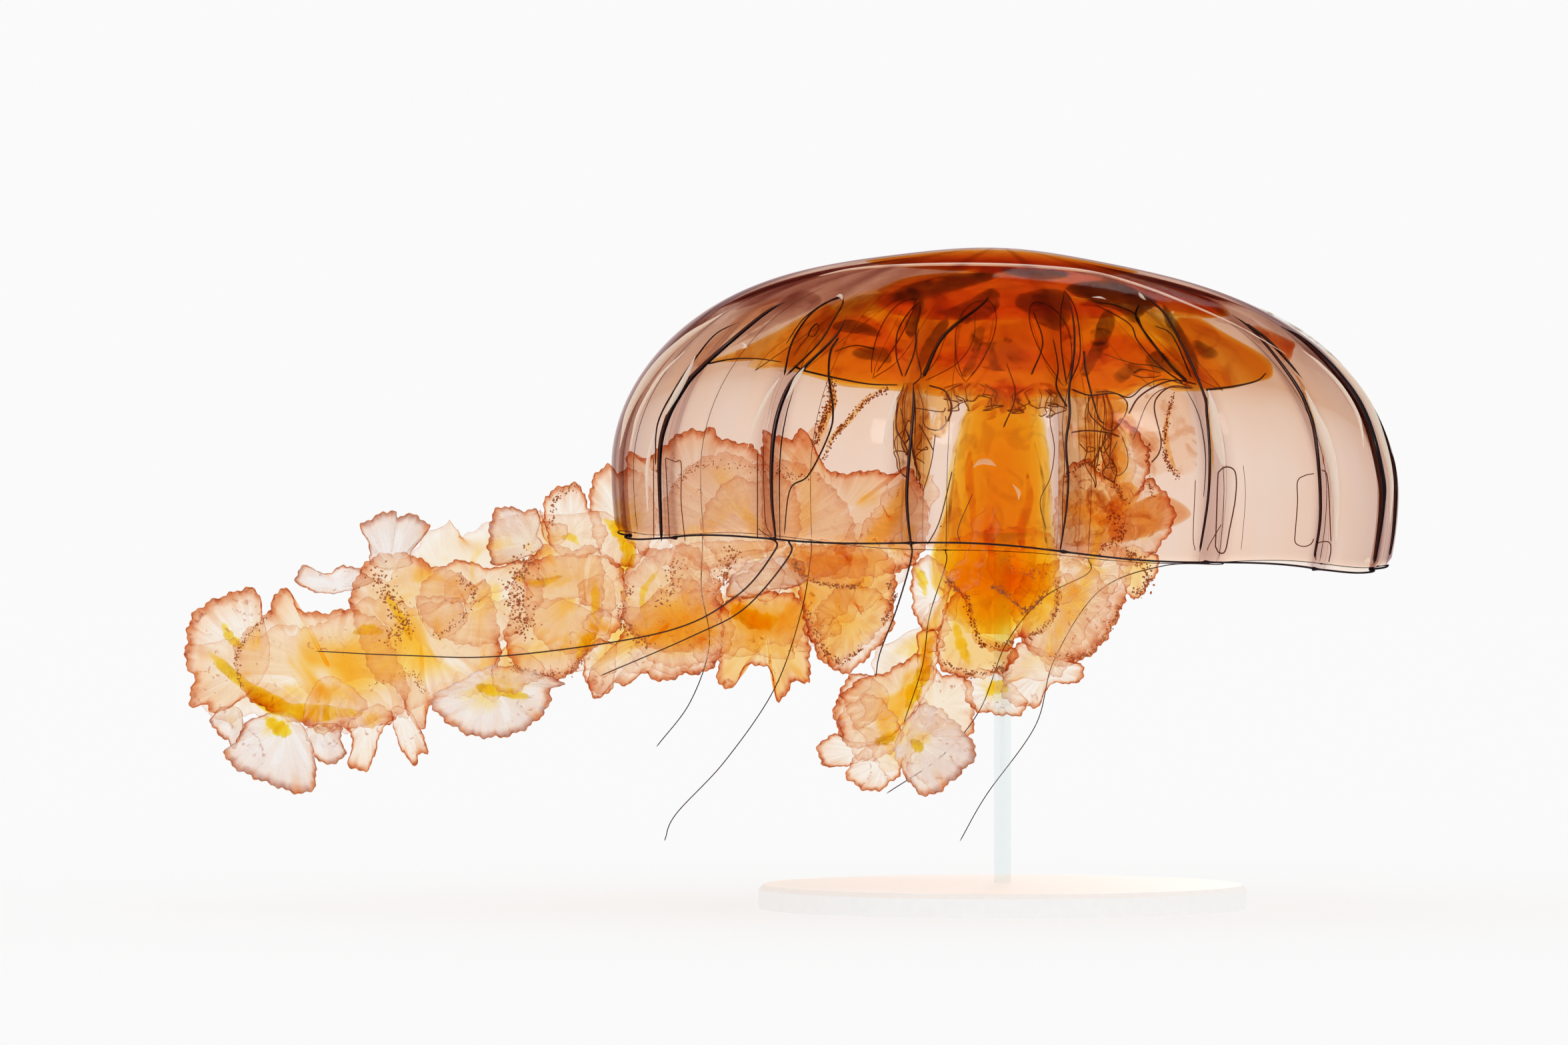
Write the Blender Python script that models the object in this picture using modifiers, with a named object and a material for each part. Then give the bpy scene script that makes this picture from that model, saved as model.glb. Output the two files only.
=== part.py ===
"""A sea nettle jellyfish, life size, held by a rod over a round display base.

Metres, +Z up. The origin is the middle of the base's underside. The jellyfish faces -Y, and its four
oral arms and eight tentacles stream away to -X. Angles round the bell start at -Y and grow towards +X.
"""

import math

import bmesh
import bpy
from mathutils import Vector

# The bell, in its own frame: heights are above the middle of its margin.
BELL_RADIUS = 0.100
BELL_HEIGHT = 0.077
WIDEST_SHARE = 0.233  # how far up the bell is widest, as a share of its height
DOME_SHARE = 0.730  # height of the dome above that
BOSS_SHARE = 0.037  # height of the low boss on the crown
BOSS_SPREAD = 0.25  # how far out the boss reaches, as a share of the radius
DOME_POWERS = (1.9, 2.7)  # of the height and of the radius, for a dome fuller than an ellipse
MARGIN_TUCK = 0.017  # how far the margin draws in below the widest ring
APEX_LEAN = 0.0035  # sideways shift of the apex towards -X
MARGIN_HEIGHT = 0.0906  # of the margin's middle above the floor
BELL_ROLL = math.radians(2.3)  # the +X side hangs lower
PANELS = 16
FIRST_GROOVE = math.radians(7.5)
GROOVE_DEPTH = 0.0026
GROOVE_SHARPNESS = 5
MARGIN_WAVE = 0.0008
FLOOR_OF_STOMACH = 0.044  # where the crown ends and the panels begin
STOMACH_RADIUS = 0.069
STOMACH_RISE = 0.023
STOMACH_EDGE = 0.0012
STOMACH_ROUNDNESS = 0.75
STOMACH_RINGS = 5
CROWN_RINGS = 7
MARGIN_THICKNESS = 0.0013
SHOULDER_THICKNESS = 0.0205
WALL_GROWTH = 2.6  # power of the height by which the wall thickens
GAP = 0.0003  # between touching pieces
MM = 0.001

MANUBRIUM_TOP_RADIUS = 0.0105
MANUBRIUM_FOOT_RADIUS = 0.0195
MANUBRIUM_FOOT = 0.0062
MANUBRIUM_LOBE = 0.16
MANUBRIUM_SWING = 0.003  # of its foot towards -X
MANUBRIUM_SIDES = 24

GONAD_RING = 0.031
GONAD_ANGLES = (70, 160, 250, 340)
GONAD_SIZE = Vector((0.0115, 0.0080, 0.0095))
GONAD_FOLDS = 5
GONAD_FOLD_SHARE = 0.12
GONAD_FLAT = 0.97  # share of its height at which the top is cut flat against the stomach

ARM_EDGE_THICKNESS = 0.0011
ARM_RIB_THICKNESS = 0.0042
RUFFLE_PITCH = 0.021
RUFFLE_DEPTH = 0.0085
RUFFLE_GROWTH = 1.4  # power of the reach by which the ruffles deepen
RUFFLE_START = 0.03  # length of arm over which they grow from nothing
RUFFLE_STAGGER = 2.1  # phase of the upper frill's ruffles past the lower one's
RUFFLE_LEAN = 0.05
LOBE_PITCH = 0.039
LOBE_SHARE = 0.10
LOBE_STAGGER = 1.7
ARM_STEP = 0.0036  # spacing of the mesh along an arm

TENTACLE_ROOT_RADIUS = 0.00055
TENTACLE_TIP_RADIUS = 0.00028

BASE_RADIUS = 0.062
BASE_THICKNESS = 0.006
BASE_CHAMFER = 0.0012
ROD_RADIUS = 0.0022
CUP_RADIUS = 0.0065
CUP_HEIGHT = 0.004
CUP_LIP = 0.001
CUP_DROP = 0.00124  # of the cup's top below the manubrium's foot, whose +X edge the bell's roll lowers

# Each arm, in millimetres: the points its rib passes through, the reach of its upper and its lower frill
# at even steps along it, how far the frill turns round the rib, in degrees, and its number of lengths.
ARMS = {
    "arm_front_left": dict(
        rib=[(-23, -13, 112), (-28, -17, 100), (-38, -22, 88), (-55, -26, 78), (-78, -28, 71),
             (-102, -28, 68), (-124, -27, 69), (-146, -24, 66), (-168, -20, 62), (-187, -17, 59),
             (-204, -16, 60)],
        upper=(4, 10, 18, 19, 17, 15, 17, 23, 24, 21, 12),
        lower=(4, 8, 15, 17, 15, 14, 23, 27, 29, 25, 13),
        turn=(-6, 18), phase=0.4, lengths=5),
    "arm_back_left": dict(
        rib=[(-18, 19, 114), (-21, 24, 102), (-30, 38, 89), (-44, 56, 78), (-62, 72, 71), (-84, 82, 76),
             (-104, 76, 87), (-124, 60, 90), (-144, 44, 85), (-162, 34, 76)],
        upper=(4, 12, 20, 20, 12, 15, 20, 18, 17, 8),
        lower=(4, 8, 14, 14, 16, 20, 22, 22, 18, 9),
        turn=(6, -18), phase=1.9, lengths=4),
    "arm_front": dict(
        rib=[(-3, -24, 106), (-6, -26, 93), (-12, -31, 82), (-19, -37, 71), (-27, -38, 58), (-28, -37, 46),
             (-27, -36, 36)],
        upper=(4, 7, 7, 8, 17, 20, 11), lower=(4, 7, 7, 8, 17, 19, 11),
        turn=(0, 14), phase=2.6, lengths=3),
    "arm_right": dict(
        rib=[(27, 9, 121), (29, 10, 108), (28, 13, 95), (23, 17, 83), (17, 21, 72), (10, 24, 63),
             (1, 26, 57)],
        upper=(3, 4, 6, 13, 14, 10, 5), lower=(6, 11, 13, 15, 14, 11, 6),
        turn=(0, -12), phase=0.9, lengths=3),
}

# Each tentacle: its angle on the margin, in degrees, its straight drop below the margin and the points it
# passes through, in millimetres.
TENTACLES = {
    "tentacle_1": (-37.5, 3, [(-67, -79, 80), (-85, -74, 71), (-124, -62, 65), (-150, -56, 65),
                              (-172, -52, 66)]),
    "tentacle_2": (-34.0, 4, [(-65, -79, 77), (-78, -74, 70), (-101, -66, 60)]),
    "tentacle_3": (-15.0, 4, [(-28, -90, 77), (-32, -82, 66), (-33, -76, 60)]),
    "tentacle_4": (187.5, 4, [(-17, 93, 73), (-19, 86, 60), (-24, 80, 45)]),
    "tentacle_5": (142.5, 0.6, [(44, 74, 86.5), (27, 66, 80), (15, 60, 62), (10, 56, 45), (-3, 50, 27),
                                (-10, 46, 15)]),
    "tentacle_6": (165.0, 4, [(13, 87, 78), (3, 80, 66), (-4, 72, 49), (-14, 66, 37), (-29, 60, 27)]),
    "tentacle_7": (210.0, 4, [(-51, 90, 74), (-58, 90, 54), (-71, 87, 35), (-84, 82, 21), (-87, 80, 14)]),
    "tentacle_8": (232.5, 4, [(-77, 61, 80), (-75, 63, 66), (-80, 65, 51), (-89, 68, 39)]),
}
TENTACLE_LENGTHS = 2
POINTS_A_LENGTH = 8

COLOURS = {
    "clear_jelly": ((0.86, 0.77, 0.72), 0.08),
    "smoky_jelly": ((0.52, 0.30, 0.20), 0.08),
    "amber": ((0.85, 0.36, 0.03), 0.15),
    "gonad": ((0.72, 0.36, 0.12), 0.35),
    "frill": ((0.93, 0.66, 0.45), 0.30),
    "tentacle": ((0.10, 0.05, 0.04), 0.30),
    "stand_white": ((0.90, 0.90, 0.88), 0.35),
    "stand_clear": ((0.88, 0.92, 0.92), 0.05),
}


def clear_scene():
    """Removes what the startup scene holds."""
    for thing in list(bpy.data.objects):
        bpy.data.objects.remove(thing)


def make_materials():
    """One Principled material for each finish."""
    made = {}
    for name, (colour, roughness) in COLOURS.items():
        material = bpy.data.materials.new(name)
        material.use_nodes = True
        shader = material.node_tree.nodes["Principled BSDF"]
        shader.inputs["Base Color"].default_value = (*colour, 1)
        shader.inputs["Roughness"].default_value = roughness
        shader.inputs["Metallic"].default_value = 0
        made[name] = material
    return made


def smooth_step(value):
    """0 below 0, 1 above 1, and a smooth rise between."""
    held = max(0.0, min(1.0, value))
    return held * held * (3 - 2 * held)


def eased(values, part):
    """Reads evenly spaced values at a share of their range, with a smooth passage between them."""
    place = max(0.0, min(1.0, part)) * (len(values) - 1)
    index = min(int(place), len(values) - 2)
    return values[index] + (values[index + 1] - values[index]) * smooth_step(place - index)


def outer_radius(height):
    """Radius of the bell's outside at a height above the margin."""
    share = height / BELL_HEIGHT
    if share < WIDEST_SHARE:
        return BELL_RADIUS * (1 - MARGIN_TUCK * (1 - share / WIDEST_SHARE) ** 2)
    rise = (share - WIDEST_SHARE) / DOME_SHARE
    return BELL_RADIUS * (1 - min(rise, 1.0) ** DOME_POWERS[0]) ** (1 / DOME_POWERS[1])


def outer_height(radius):
    """Height of the bell's outside above the margin at a radius, on the dome."""
    share = radius / BELL_RADIUS
    dome = DOME_SHARE * (1 - share ** DOME_POWERS[1]) ** (1 / DOME_POWERS[0])
    boss = BOSS_SHARE * math.exp(-((share / BOSS_SPREAD) ** 2))
    return BELL_HEIGHT * (WIDEST_SHARE + dome + boss)


def wall_thickness(height):
    """Thickness of the panels, thin at the margin and thick at the shoulder."""
    share = max(0.0, height / FLOOR_OF_STOMACH)
    return MARGIN_THICKNESS + (SHOULDER_THICKNESS - MARGIN_THICKNESS) * share**WALL_GROWTH


def stomach_height(radius):
    """Height of the stomach's domed roof at a radius."""
    share = min(1.0, radius / STOMACH_RADIUS)
    return FLOOR_OF_STOMACH + STOMACH_RISE * (1 - share**2) ** STOMACH_ROUNDNESS


def stomach_outline():
    """Points of the stomach's roof from its middle out to its edge."""
    radii = [STOMACH_RADIUS * math.sin(math.pi / 2 * i / STOMACH_RINGS) for i in range(STOMACH_RINGS)]
    return [*((r, stomach_height(r)) for r in radii), (STOMACH_RADIUS, FLOOR_OF_STOMACH + STOMACH_EDGE)]


def across_panel(angle):
    """Where an angle lies across its panel, -1 and 1 at the grooves and 0 in the middle."""
    turns = (angle - FIRST_GROOVE) / (2 * math.pi) * PANELS
    return 2 * (turns - math.floor(turns)) - 1


def dip(across):
    """Inward dip of the outside at a place across a panel."""
    return GROOVE_DEPTH * abs(across) ** GROOVE_SHARPNESS


def margin_droop(angle):
    """Height of the margin's free edge at an angle: slack panels and a slow sag at the +X side."""
    return MARGIN_WAVE * (math.cos(3 * angle + 0.6) - math.cos(angle - 1.9))


def bell_point(angle, radius, height):
    """A place in the bell's frame, with the lean of its apex."""
    lean = APEX_LEAN * (height / BELL_HEIGHT) ** 2
    return Vector((radius * math.sin(angle) - lean, -radius * math.cos(angle), height))


def link(collection, name, mesh, material, parent=None, smooth_angle=40):
    """Adds a mesh object to the collection, smooth shaded."""
    thing = bpy.data.objects.new(name, mesh)
    collection.objects.link(thing)
    mesh.materials.clear()
    mesh.materials.append(material)
    mesh.shade_smooth()
    mesh.set_sharp_from_angle(angle=math.radians(smooth_angle))
    thing.parent = parent
    return thing


def turned(profile, steps):
    """A mesh turned round Z from (radius, height) points that run down the outside."""
    outline = bpy.data.meshes.new("profile")
    edges = [(i, i + 1) for i in range(len(profile) - 1)]
    outline.from_pydata([(r, 0, z) for r, z in profile], edges, [])
    guide = bpy.data.objects.new("profile", outline)
    bpy.context.scene.collection.objects.link(guide)
    screw = guide.modifiers.new("turn", "SCREW")
    screw.steps = screw.render_steps = steps
    screw.use_merge_vertices = True
    screw.merge_threshold = 0.00005
    graph = bpy.context.evaluated_depsgraph_get()
    mesh = bpy.data.meshes.new_from_object(guide.evaluated_get(graph))
    bpy.data.objects.remove(guide)
    return mesh


def slab(columns, rows, near_side, far_side):
    """A closed plate from a grid and its extruded copy, each laid on a surface of (u, v) from -1 to 1."""
    shape = bmesh.new()
    bmesh.ops.create_grid(shape, x_segments=columns, y_segments=rows, size=1)
    grown = bmesh.ops.extrude_face_region(shape, geom=shape.faces[:])
    far = {part for part in grown["geom"] if isinstance(part, bmesh.types.BMVert)}
    for vertex in shape.verts:
        side = far_side if vertex in far else near_side
        vertex.co = side(vertex.co.x, vertex.co.y)
    bmesh.ops.recalc_face_normals(shape, faces=shape.faces)
    if shape.calc_volume(signed=True) < 0:
        bmesh.ops.reverse_faces(shape, faces=shape.faces)
    mesh = bpy.data.meshes.new("plate")
    shape.to_mesh(mesh)
    shape.free()
    return mesh


def smooth_path(points, count):
    """Points evenly spaced in parameter on a Catmull-Rom curve through the given ones."""
    knots = [Vector(p) for p in points]
    knots = [2 * knots[0] - knots[1], *knots, 2 * knots[-1] - knots[-2]]
    spans = len(knots) - 3
    path = []
    for step in range(count):
        place = step / (count - 1) * spans
        index = min(int(place), spans - 1)
        t = place - index
        a, b, c, d = knots[index : index + 4]
        path.append(0.5 * (2 * b + (c - a) * t + (2 * a - 5 * b + 4 * c - d) * t**2
                           + (3 * b - 3 * c + d - a) * t**3))
    return path


class Ribbon:
    """A ruffled oral arm: a rib with a frill on each side of it."""

    STATIONS = 241  # points on the rib's path
    PLAIN_SHARE = 0.2  # share of the arm over which its lobes grow from nothing
    PROBE = 0.0008  # step along the rib for the surface's slope
    PROBE_ACROSS = 0.04  # the same, as a share of the frill's reach

    def __init__(self, rib, upper, lower, turn, phase, lengths):
        self.path = smooth_path([Vector(place) * MM for place in rib], self.STATIONS)
        self.upper, self.lower = upper, lower
        self.turn, self.phase, self.lengths = turn, phase, lengths
        steps = [(b - a).length for a, b in zip(self.path, self.path[1:])]
        self.length = sum(steps)
        self.reached = [0.0]
        for step in steps:
            self.reached.append(self.reached[-1] + step)

    def frame(self, along):
        """The rib's point, its direction, the frill's direction and its normal at a distance along it."""
        held = max(0.0, min(self.length, along))
        index = next(i for i, d in enumerate(self.reached[1:]) if d >= held - 1e-12)
        start, end = self.path[index], self.path[index + 1]
        share = (held - self.reached[index]) / max(1e-9, self.reached[index + 1] - self.reached[index])
        before, after = self.path[max(0, index - 3)], self.path[min(self.STATIONS - 1, index + 4)]
        direction = (after - before).normalized()
        normal = Vector((0, -1, 0))
        normal = (normal - normal.dot(direction) * direction).normalized()
        side = direction.cross(normal)
        part = held / self.length
        turn = math.radians(self.turn[0] + (self.turn[1] - self.turn[0]) * part)
        turned_side = side * math.cos(turn) + normal * math.sin(turn)
        turned_normal = normal * math.cos(turn) - side * math.sin(turn)
        return start.lerp(end, share), direction, turned_side, turned_normal

    def half_width(self, along, across):
        """Reach of the frill at a distance along the rib, with broad lobes that differ on the two sides."""
        part = along / self.length
        above = across > 0
        reach = eased(self.upper if above else self.lower, part) * MM
        stagger = LOBE_STAGGER if above else 0.0
        lobe = LOBE_SHARE * math.sin(2 * math.pi * along / LOBE_PITCH + self.phase + stagger)
        return reach * (1 + lobe * smooth_step(part / self.PLAIN_SHARE))

    def surface(self, along, across):
        """A point of the frill's middle surface, across from -1 to 1."""
        point, direction, side, normal = self.frame(along)
        reach = abs(across) * self.half_width(along, across)
        wave = 2 * math.pi * along / RUFFLE_PITCH + self.phase + (RUFFLE_STAGGER if across > 0 else 0.0)
        depth = RUFFLE_DEPTH * smooth_step(along / RUFFLE_START) * abs(across) ** RUFFLE_GROWTH
        point = point + side * math.copysign(reach, across) + normal * depth * math.sin(wave)
        return point + direction * RUFFLE_LEAN * depth * math.sin(2 * wave)

    def skin(self, start, end, face):
        """A function of (u, v) that gives one face of the frill between two distances along the rib."""

        def lay(u, v):
            along = start + (end - start) * (u + 1) / 2
            ahead = self.surface(along + self.PROBE, v) - self.surface(along - self.PROBE, v)
            inner, outer = max(-1.0, v - self.PROBE_ACROSS), min(1.0, v + self.PROBE_ACROSS)
            over = self.surface(along, outer) - self.surface(along, inner)
            out = ahead.cross(over).normalized()
            thick = ARM_EDGE_THICKNESS + (ARM_RIB_THICKNESS - ARM_EDGE_THICKNESS) * (1 - abs(v)) ** 2
            return self.surface(along, v) + out * face * thick / 2

        return lay


def build_bell(collection, materials):
    """Crown, stomach, sixteen panels, manubrium and gonads, all on one tilted axis."""
    axis = bpy.data.objects.new("bell_axis", None)
    collection.objects.link(axis)
    axis.location = (0, 0, MARGIN_HEIGHT)
    axis.rotation_euler = (0, BELL_ROLL, 0)
    build_crown(collection, materials, axis)
    build_stomach(collection, materials, axis)
    for index in range(PANELS):
        build_panel(collection, materials, axis, index)
    build_manubrium(collection, materials, axis)
    for index, angle in enumerate(GONAD_ANGLES):
        build_gonad(collection, materials, axis, index, math.radians(angle))


def build_crown(collection, materials, axis):
    """The thick dome above the level of the stomach's floor, hollowed for the stomach."""
    edge = outer_radius(FLOOR_OF_STOMACH)
    outside = [edge * math.sin(math.pi / 2 * i / CROWN_RINGS) for i in range(CROWN_RINGS)]
    profile = [(r, outer_height(r)) for r in outside] + [(edge, FLOOR_OF_STOMACH)]
    rim = STOMACH_RADIUS + 2 * GAP
    profile += [(rim, FLOOR_OF_STOMACH)]
    profile += [(r * rim / STOMACH_RADIUS, z + 2 * GAP) for r, z in reversed(stomach_outline())]
    mesh = turned(profile, 3 * PANELS)
    for vertex in mesh.vertices:
        x, y, z = vertex.co
        radius = math.hypot(x, y)
        angle = math.atan2(x, -y) + FIRST_GROOVE
        fade = smooth_step((radius - rim) / (edge - rim))
        vertex.co = bell_point(angle, radius - fade * dip(across_panel(angle)), z)
    link(collection, "crown", mesh, materials["smoky_jelly"], axis)


def build_stomach(collection, materials, axis):
    """A lens with a flat floor that fills the hollow of the crown."""
    profile = [*stomach_outline(), (STOMACH_RADIUS, FLOOR_OF_STOMACH), (0, FLOOR_OF_STOMACH)]
    mesh = turned(profile, 3 * PANELS)
    for vertex in mesh.vertices:
        x, y, z = vertex.co
        vertex.co = bell_point(math.atan2(x, -y) + FIRST_GROOVE, math.hypot(x, y), z)
    link(collection, "stomach", mesh, materials["amber"], axis)


def build_panel(collection, materials, axis, index):
    """One of the clear wall panels between two grooves, from the margin to the crown."""
    pitch = 2 * math.pi / PANELS
    middle = FIRST_GROOVE + pitch * (index + 0.5)
    half = pitch / 2 - GAP / BELL_RADIUS
    top = FLOOR_OF_STOMACH - GAP

    def outside(u, v):
        angle = middle + u * half
        height = top * (v + 1) / 2
        radius = outer_radius(height) - dip(u)
        return bell_point(angle, radius, height + margin_droop(angle) * (1 - height / top))

    def inside(u, v):
        angle = middle + u * half
        height = top * (v + 1) / 2
        radius = outer_radius(height) - dip(u) - wall_thickness(height)
        return bell_point(angle, radius, height + margin_droop(angle) * (1 - height / top))

    link(collection, f"panel_{index + 1:02d}", slab(4, 4, outside, inside), materials["clear_jelly"], axis)


def build_manubrium(collection, materials, axis):
    """The stalk of the mouth, four-cornered and wider at its foot, where the oral arms begin."""
    top = FLOOR_OF_STOMACH - GAP
    profile = [(0, top)]
    for share in (0.0, 0.2, 0.45, 0.7, 0.9, 1.0):
        radius = MANUBRIUM_TOP_RADIUS + (MANUBRIUM_FOOT_RADIUS - MANUBRIUM_TOP_RADIUS) * smooth_step(share)
        profile.append((radius, top + (MANUBRIUM_FOOT - top) * share))
    profile.append((0, MANUBRIUM_FOOT))
    mesh = turned(profile, MANUBRIUM_SIDES)
    for vertex in mesh.vertices:
        x, y, z = vertex.co
        angle = math.atan2(x, -y)
        lobed = math.hypot(x, y) * (1 + MANUBRIUM_LOBE * math.cos(4 * angle - 1.2) * (1 - z / top))
        vertex.co = bell_point(angle, lobed, z) - Vector((MANUBRIUM_SWING * (1 - z / top), 0, 0))
    link(collection, "manubrium", mesh, materials["amber"], axis)


def build_gonad(collection, materials, axis, index, angle):
    """One folded gonad that hangs under the stomach's floor beside the manubrium."""
    shape = bmesh.new()
    bmesh.ops.create_icosphere(shape, subdivisions=2, radius=1)
    drop = FLOOR_OF_STOMACH - GAP - GONAD_SIZE.z
    for vertex in shape.verts:
        x, y, z = vertex.co
        fold = 1 + GONAD_FOLD_SHARE * math.sin(GONAD_FOLDS * math.atan2(y, x) + index)
        flat_z = min(z, GONAD_FLAT)
        size = Vector((x * fold * GONAD_SIZE.x, y * fold * GONAD_SIZE.y, flat_z * GONAD_SIZE.z))
        radial = GONAD_RING - size.y
        vertex.co = bell_point(angle + size.x / GONAD_RING, radial, drop + size.z)
    mesh = bpy.data.meshes.new("gonad")
    shape.to_mesh(mesh)
    shape.free()
    link(collection, f"gonad_{index + 1}", mesh, materials["gonad"], axis)


def build_arms(collection, materials):
    """The four oral arms, each in a few lengths."""
    for name, facts in ARMS.items():
        ribbon = Ribbon(**facts)
        share = ribbon.length / ribbon.lengths
        columns = max(10, round(share / ARM_STEP))
        for index in range(ribbon.lengths):
            start, end = index * share + 2 * GAP, (index + 1) * share - 2 * GAP
            near, far = ribbon.skin(start, end, 1), ribbon.skin(start, end, -1)
            mesh = slab(columns, 4, near, far)
            link(collection, f"{name}_{index + 1}", mesh, materials["frill"], smooth_angle=60)


def build_tentacles(collection, materials):
    """The eight tentacles as tapering tubes, each in two lengths."""
    for name, (degrees, drop, points) in TENTACLES.items():
        angle = math.radians(degrees)
        height = margin_droop(angle) - GAP - TENTACLE_ROOT_RADIUS
        root = bell_point(angle, outer_radius(0) - MARGIN_THICKNESS / 2 - GROOVE_DEPTH / 2, height)
        x, z = root.x, root.z
        root.x = x * math.cos(BELL_ROLL) + z * math.sin(BELL_ROLL)
        root.z = z * math.cos(BELL_ROLL) - x * math.sin(BELL_ROLL) + MARGIN_HEIGHT
        below = root - Vector((0, 0, drop * MM))
        count = TENTACLE_LENGTHS * POINTS_A_LENGTH
        path = smooth_path([root, below, *[Vector(place) * MM for place in points]], count + 1)
        for index in range(TENTACLE_LENGTHS):
            first = index * POINTS_A_LENGTH
            part = path[first : first + POINTS_A_LENGTH + 1]
            if index + 1 < TENTACLE_LENGTHS:
                part[-1] = part[-1] + (part[-2] - part[-1]).normalized() * 3 * GAP
            build_tube(collection, materials, f"{name}_{index + 1}", part, first, count)


def build_tube(collection, materials, name, path, first, count):
    """One length of a tentacle: a poly curve whose radius shrinks along the whole tentacle."""
    curve = bpy.data.curves.new(name, "CURVE")
    curve.dimensions = "3D"
    curve.bevel_depth = TENTACLE_ROOT_RADIUS
    curve.bevel_resolution = 1
    curve.use_fill_caps = True
    spline = curve.splines.new("POLY")
    spline.points.add(len(path) - 1)
    for index, place in enumerate(path):
        share = (first + index) / count
        taper = 1 + (TENTACLE_TIP_RADIUS / TENTACLE_ROOT_RADIUS - 1) * share
        spline.points[index].co = (*place, 1)
        spline.points[index].radius = taper
    curve.materials.append(materials["tentacle"])
    collection.objects.link(bpy.data.objects.new(name, curve))


def build_stand(collection, materials):
    """A round base, a rod on its middle and a small cup under the manubrium."""
    rim = [(BASE_RADIUS - BASE_CHAMFER, BASE_THICKNESS), (BASE_RADIUS, BASE_THICKNESS - BASE_CHAMFER)]
    profile = [(0, BASE_THICKNESS), *rim, (BASE_RADIUS, 0), (0, 0)]
    link(collection, "stand_base", turned(profile, 64), materials["stand_white"])
    cup_top = MARGIN_HEIGHT + MANUBRIUM_FOOT - CUP_DROP - GAP
    cup_foot = cup_top - CUP_HEIGHT
    cup = [(0, cup_top), (CUP_RADIUS, cup_top), (CUP_RADIUS, cup_top - CUP_LIP), (ROD_RADIUS, cup_foot),
           (0, cup_foot)]
    link(collection, "stand_cup", turned(cup, 24), materials["stand_clear"])
    rod_top = cup_foot - GAP
    rod = [(0, rod_top), (ROD_RADIUS, rod_top), (ROD_RADIUS, BASE_THICKNESS + GAP), (0, BASE_THICKNESS + GAP)]
    link(collection, "stand_rod", turned(rod, 20), materials["stand_clear"])


def main():
    """Builds the whole model in its own collection."""
    clear_scene()
    collection = bpy.data.collections.new("sea_nettle")
    bpy.context.scene.collection.children.link(collection)
    materials = make_materials()
    build_bell(collection, materials)
    build_arms(collection, materials)
    build_tentacles(collection, materials)
    build_stand(collection, materials)


main()
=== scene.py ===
"""Looks of a life-size sea nettle on a display stand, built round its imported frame.

Metres, +Z up. The model is shown from -Y, its arms and tentacles stream towards -X, and angles round
the bell start at -Y and grow towards +X. Lengths given in millimetres are multiplied by MM.
"""

import sys
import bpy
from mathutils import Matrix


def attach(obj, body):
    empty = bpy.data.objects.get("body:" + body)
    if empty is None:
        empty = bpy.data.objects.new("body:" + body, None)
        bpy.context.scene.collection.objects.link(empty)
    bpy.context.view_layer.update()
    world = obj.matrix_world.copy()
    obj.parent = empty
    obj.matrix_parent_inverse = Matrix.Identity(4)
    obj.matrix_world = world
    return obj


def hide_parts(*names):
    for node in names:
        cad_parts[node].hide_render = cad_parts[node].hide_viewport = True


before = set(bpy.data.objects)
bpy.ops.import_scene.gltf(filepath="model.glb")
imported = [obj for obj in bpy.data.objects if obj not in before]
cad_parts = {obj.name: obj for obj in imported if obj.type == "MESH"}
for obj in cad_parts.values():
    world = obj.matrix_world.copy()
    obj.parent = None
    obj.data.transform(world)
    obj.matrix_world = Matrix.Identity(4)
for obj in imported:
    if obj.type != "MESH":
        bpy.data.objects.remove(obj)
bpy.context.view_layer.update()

import bisect
import functools
import itertools
import logging
import random
from dataclasses import dataclass, field
from enum import Enum
from math import atan2, copysign, cos, dist, exp, hypot, pi, radians, sin, sqrt, tan, tau
from typing import Callable, Optional, Sequence, Union

import bmesh
import bpy
from mathutils import Matrix, Vector

MM = 0.001
WELD = 1e-6

Colour = tuple[float, float, float]
Points = Sequence[tuple[float, float]]
Route = Sequence[tuple[float, float, float]]
Curve = Callable[[float], float]
Field = Callable[[float, float], float]
Place = Callable[[float, float], Vector]
Material = bpy.types.Material
Socket = bpy.types.NodeSocket
Value = Union[Socket, float, Colour]

log = logging.getLogger("sea_nettle")


# ---------------------------------------------------------------- numbers and curves


def smooth_step(value: float) -> float:
    """0 below 0, 1 above 1, and a smooth rise between."""
    held = max(0, min(1, value))
    return held * held * (3 - 2 * held)


def eased(values: Sequence[float], part: float) -> float:
    """Reads evenly spaced values at a part of their range, with a smooth passage between neighbours.

    Args:
        values: the values.
        part: where to read, from 0 to 1.

    Returns:
        The value there.
    """
    place = max(0, min(1, part)) * (len(values) - 1)
    index = min(int(place), len(values) - 2)
    return values[index] + (values[index + 1] - values[index]) * smooth_step(place - index)


def smooth_path(points: Sequence[Sequence[float]], count: int) -> list[Vector]:
    """A Catmull-Rom curve, at even steps of its parameter.

    Args:
        points: the points that it passes through.
        count: how many points to return.

    Returns:
        The points.
    """
    knots = [Vector(p) for p in points]
    knots = [2 * knots[0] - knots[1], *knots, 2 * knots[-1] - knots[-2]]
    spans = len(knots) - 3
    path = []
    for step in range(count):
        place = step / (count - 1) * spans
        index = min(int(place), spans - 1)
        t = place - index
        a, b, c, d = knots[index : index + 4]
        path.append(0.5 * (2 * b + (c - a) * t + (2 * a - 5 * b + 4 * c - d) * t**2
                           + (3 * b - 3 * c + d - a) * t**3))
    return path


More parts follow.
